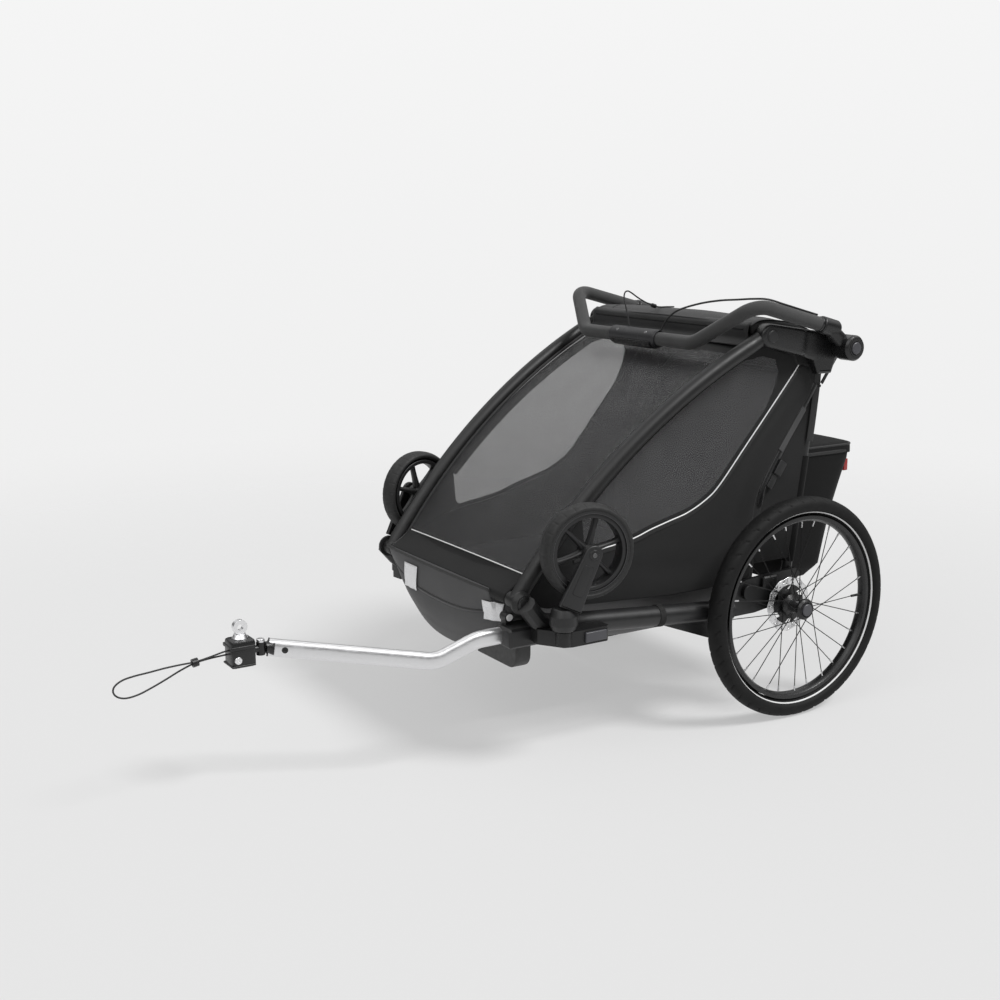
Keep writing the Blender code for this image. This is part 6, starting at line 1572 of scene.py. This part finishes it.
seat_panel = add_sheet("seat_rear_panel", rear, 0.0014, (0, 1, 0), "stretched", ["seat_frame_tube"], "back_frame",
                       "black_fabric", CABIN_CLOTH)
middle = rear[:, rear.shape[1] // 2]
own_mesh(seat_panel)
print("seats done")

# %% [markdown]
# ## Back frame and cargo bag
# A tube bent into a U carries the backrest and, behind it, an open bag with a hinged lid. The bag is a
# loft of rounded rectangles, deeper at the top; each side wall sags between its corners.

# %% Back frame and bag
STRUT_TOP = (0.262, 0.597, 0.755)
route = bent_path([(0.262, 0.535, 0.310), STRUT_TOP, (-0.262, 0.597, 0.755), (-0.262, 0.535, 0.310)], 0.045, 14)
back = sweep("seat_frame_tube", resampled(route, 0.008), ellipse(0.012, 0.012, 28), up=(0, 1, 0.01))
add_piece(back, "back_frame", "black_tube", TUBE, "back_tube")

def at_x(x, line):
    """A (y, z) line set in the plane at x."""
    return np.concatenate([np.full((len(line), 1), x), line], 1)


for side, word in SIDES.items():
    sleeve = np.array([(side * 0.262, 0.5385, 0.335), (side * 0.262, 0.5728, 0.578)])
    add_piece(sweep("bag_sleeve_" + word, resampled(sleeve, 0.008), ellipse(0.0142, 0.0142, 28)), "back_frame",
              "black_fabric", BAG_CLOTH)
    drop = smooth_path([(0.5935, 0.768), (0.5915, 0.735), (0.5840, 0.665), (0.5770, 0.612)], 0.006)
    ribbon("frame_strap_" + word, at_x(side * 0.2768, drop), (0, 1, 0), 0.0200, 0.0022, "back_frame", BINDING)
    loop = np.array([(side * 0.2768, 0.5928, 0.7420), (side * 0.2768, 0.5915, 0.7365)])
    ribbon("strap_loop_" + word, loop, (0, 1, 0), 0.0240, 0.0050, "back_frame", BLACK)
    strut = np.array([(side * 0.2790, 0.6450, 0.8000), (side * 0.2790, 0.6040, 0.7430)])
    ribbon("arm_strap_" + word, resampled(strut, 0.006), (0, 0.8, -0.58), 0.0090, 0.0026, "front_frame", BINDING)
    webbing = np.array([(side * 0.2800, 0.5535, 0.6910), (side * 0.2800, 0.4870, 0.5990)])
    ribbon("seat_webbing_" + word, resampled(webbing, 0.006), (0, 0.8, -0.58), 0.0150, 0.0022, "back_frame", WEBBING)
    rail = smooth_path([(0.5870, 0.742), (0.5375, 0.668), (0.4950, 0.604), (0.4440, 0.524), (0.4330, 0.480)], 0.006)
    rail = sweep("seat_side_rail_" + word, at_x(side * 0.2745, rail), ellipse(0.0060, 0.0085, 18))
    add_piece(rail, "back_frame", "black_plastic", SMOOTH_PLASTIC)
    box = soft_box("seat_buckle_" + word, (side * 0.2800 - 0.0050, -0.0180, -0.0110),
                   (side * 0.2800 + 0.0050, 0.0180, 0.0110), 0.0022)
    angle = math.radians(56)
    coords = points_of(box)
    y = coords[:, 1] * math.cos(angle) - coords[:, 2] * math.sin(angle)
    z = coords[:, 1] * math.sin(angle) + coords[:, 2] * math.cos(angle)
    moved(box, np.stack([coords[:, 0], 0.4850 + y, 0.5590 + z], -1))
    add_piece(box, "back_frame", "black_plastic", PLASTIC)
    tail = np.array([(side * 0.2800, 0.4905, 0.5700), (side * 0.2800, 0.4560, 0.5180)])
    ribbon("buckle_strap_" + word, resampled(tail, 0.006), (0, 0.8, -0.58), 0.0170, 0.0030, "back_frame", BINDING)
    wing_front = smooth_path([(0.5660, 0.735), (0.5165, 0.6640), (0.4750, 0.6000), (0.4250, 0.5226), (0.4050, 0.430),
                              (0.4050, 0.345)], 0.006)
    wing_rear = np.array([(0.5920, 0.740), (0.5745, 0.600), (0.5400, 0.345)])
    wing = ruled(at_x(side * 0.2715, wing_front), at_x(side * 0.2715, wing_rear), 50, 14)
    add_sheet("seat_wing_" + word, wing, 0.0014, (side, 0, 0), "stretched", ["seat_frame_tube"], "back_frame",
              "black_fabric", CABIN_CLOTH)
    level = np.array([(side * 0.2700, 0.5060, 0.5830), (side * 0.2620, 0.5900, 0.5757)])
    ribbon("bag_strap_" + word, resampled(level, 0.006), (0, 0, 1), 0.0060, 0.0018, "back_frame", BINDING)

BAG_FRONT, BAG_HALF, BAG_TOP, BAG_LOW = 0.560, 0.2494, 0.585, 0.268
BAG_CORNER = 0.22


def bag_grid():
    """Rows run down the bag and under its floor; columns run round a superellipse rectangle."""
    fall = np.concatenate([np.linspace(0, 1, 44), np.ones(14)])
    shrink = np.concatenate([np.ones(44), np.linspace(0.985, 0.02, 14)])
    z = BAG_TOP + (BAG_LOW - BAG_TOP) * fall
    z[38:44] = BAG_TOP + (BAG_LOW - BAG_TOP) * np.array([0.90, 0.935, 0.962, 0.982, 0.994, 1.0])
    share = np.interp(z, [BAG_LOW, BAG_LOW + 0.030, 0.430, BAG_TOP - 0.030, BAG_TOP], [1.25, 0.92, 0.5, 0.02, 0.0])
    depth = 0.192 + (0.130 - 0.192) * share
    half = BAG_HALF - 0.030 * share
    turn = np.linspace(0, 2 * np.pi, 144, endpoint=False)[None]
    a, b = signed_power(np.cos(turn), BAG_CORNER), signed_power(np.sin(turn), BAG_CORNER)
    rounding = np.concatenate([np.interp(z[:44], [BAG_LOW, BAG_LOW + 0.03], [0.93, 1.0]), np.full(14, 0.93)])
    scale = (shrink * rounding)[:, None]
    belly = np.sin(np.pi * np.clip(fall, 0, 1))[:, None] * shrink[:, None]
    sag_a = 1 - 0.012 * belly * (1 + 0.6 * np.sin(5 * turn))
    sag_b = 1 - 0.030 * belly * (1 + 0.5 * np.sin(3 * turn + 1.0))
    x = half[:, None] * a * scale * sag_a
    y = BAG_FRONT + depth[:, None] / 2 + depth[:, None] / 2 * b * scale * sag_b
    y = np.maximum(y, BAG_FRONT + 0.0005)
    return np.stack([x, y, np.broadcast_to(z[:, None], x.shape)], -1)


bag_points = bag_grid()
bag = add_wall(grid_object("cargo_bag_shell", bag_points, close_columns=True), 0.0026, -1.0)
add_piece(bag, "back_frame", "black_fabric", BAG_CLOTH, "cargo_bag", angle=60)
binding = sweep("bag_rim_binding", bag_points[1] * (0.996, 1, 1) + (0, 0, -0.004), ellipse(0.0030, 0.0055, 14),
                up=(0, 0, 1), close=True)
add_piece(binding, "back_frame", "black_fabric", BINDING)

lid_turn = np.linspace(0, 2 * np.pi, 160, endpoint=False)
a, b = signed_power(np.cos(lid_turn), BAG_CORNER), signed_power(np.sin(lid_turn), BAG_CORNER)
rings = np.array([(0.02, 0.0103), (0.35, 0.0106), (0.70, 0.0098), (0.92, 0.0075), (0.985, 0.0055), (1.0, 0.0030),
                  (1.004, -0.006), (1.005, -0.0170), (0.999, -0.0175), (0.998, -0.0060), (0.985, 0.0004),
                  (0.70, 0.0012), (0.02, 0.0012)])
skirt = smooth_step(b, -0.90, -0.55)[None]
lid = np.stack([np.outer(rings[:, 0], a) * 0.2490, 0.6605 + np.outer(rings[:, 0], b) * 0.0962,
                0.5855 + np.where(rings[:, 1:] < 0, rings[:, 1:] * skirt, rings[:, 1:])], -1)
lid_mesh = grid_object("bag_lid", lid, close_columns=True, caps=True)
add_piece(lid_mesh, "bag_flap", "black_fabric", BAG_CLOTH, "bag_flap", angle=60)
edge = np.stack([a * 0.2492, 0.6605 + b * 0.0964, np.full(160, 0.5880)], -1)
add_piece(sweep("bag_lid_binding", edge * (0.995, 1, 1), ellipse(0.0024, 0.0028, 12), up=(0, 0, 1), close=True),
          "bag_flap", "black_fabric", BINDING)
reflector = soft_box("bag_reflector", (0.201, 0.7370, 0.521), (0.232, 0.7500, 0.5495), 0.0022)
add_piece(reflector, "back_frame", "tinted_film", RED)
print("bag done")

# %% [markdown]
# ## Hitch
# The hitch arm is an oval alloy tube. It leaves the receiver on the left front corner, dips, and crosses
# to the trailer's middle line, where its plugged end carries the coupling and the axle eye.

# %% Hitch arm, receiver, pad and coupling
arm_route = bent_path(np.array([(0.240, -0.174, 0.2755), (0.240, -0.285, 0.2755), (0.225, -0.372, 0.240),
                                (0.0842, -0.6724, 0.2838)]), 0.070, 16)
arm_section = signed_power(ellipse(1.0, 1.0, 56), 0.72) * (0.0122, 0.0175)
arm_tube = sweep("hitch_arm_tube", resampled(arm_route, 0.006), arm_section)
add_piece(add_bevel(arm_tube, 0.0012, 2, 60), "chassis", "silver", ALLOY, "hitch_arm")
tip, heading = arm_route[-1], unit(arm_route[-2] - arm_route[-1])
rim_path = np.array([tip + heading * k for k in (-0.0012, 0.0004, 0.0020)])
add_piece(sweep("arm_end_rim", rim_path, arm_section * 1.045), "chassis", "black_plastic", SMOOTH_PLASTIC)
side_on = unit(np.cross(heading, (0, 0, 1.0)))
side_on = side_on * np.sign(side_on[0])
bush = turned("arm_bush", softened([(0, -0.002), (0, 0.0006), (0.0030, 0.0004), (0.0038, 0.0018), (0.0062, 0.0014),
                                    (0.0066, -0.002)], 0.0004, 2), tip + heading * 0.034 + side_on * 0.0120, side_on, 32)
add_piece(bush, "chassis", "black_plastic", RUBBER)
for node, edge, slot, look in (("hitch_receiver", (0.0016,), "black_plastic", PLASTIC),
                               ("receiver_button", (0.0008,), "white_plastic", WHITE),
                               ("receiver_pad", (0.0050, 5, 40), "tyre_rubber", PAD_RUBBER),
                               ("arm_cap", (0.0014,), "black_plastic", SMOOTH_PLASTIC),
                               ("coupling_body", (0.0010,), "black_plastic", SMOOTH_PLASTIC),
                               ("coupling_eye", (0.0007,), "silver", STEEL)):
    add_piece(refined(node, *edge), BODY_OF[node], slot, look, node)
lock = turned("coupling_lock", softened([(0, 0.0006), (0.0022, 0.0006), (0.0026, 0.0018), (0.0068, 0.0016),
                                        (0.0080, 0.0), (0, -0.002)], 0.0004, 2), (0.113, -0.745, 0.2755), (1, 0, 0), 40)
add_piece(lock, "coupling", "silver", STEEL)
for k, (low, high) in enumerate((((0.0655, -0.7585, 0.2960), (0.1145, -0.7095, 0.3035)),
                                 ((0.0655, -0.7585, 0.2610), (0.1145, -0.7095, 0.2655)))):
    add_piece(soft_box("coupling_plate_" + "ab"[k], low, high, 0.0018, 3), "coupling", "black_plastic", PLASTIC)
head = turned("coupling_pin_head", softened([(0, 0.3170), (0.0075, 0.3170), (0.0085, 0.3140), (0.0085, 0.3105),
                                             (0, 0.3105)], 0.0008, 3), (0.090, -0.690, -0.0115), (0, 0, 1), 32)
add_piece(head, "coupling", "silver", STEEL)
washer = turned("eye_washer", softened([(0, 0.3155), (0.0125, 0.3155), (0.0140, 0.3140), (0, 0.3138)], 0.0004, 2),
                (0.090, -0.732, 0.0), (0, 0, 1), 40)
add_piece(washer, "coupling", "silver", STEEL)
print("hitch done")
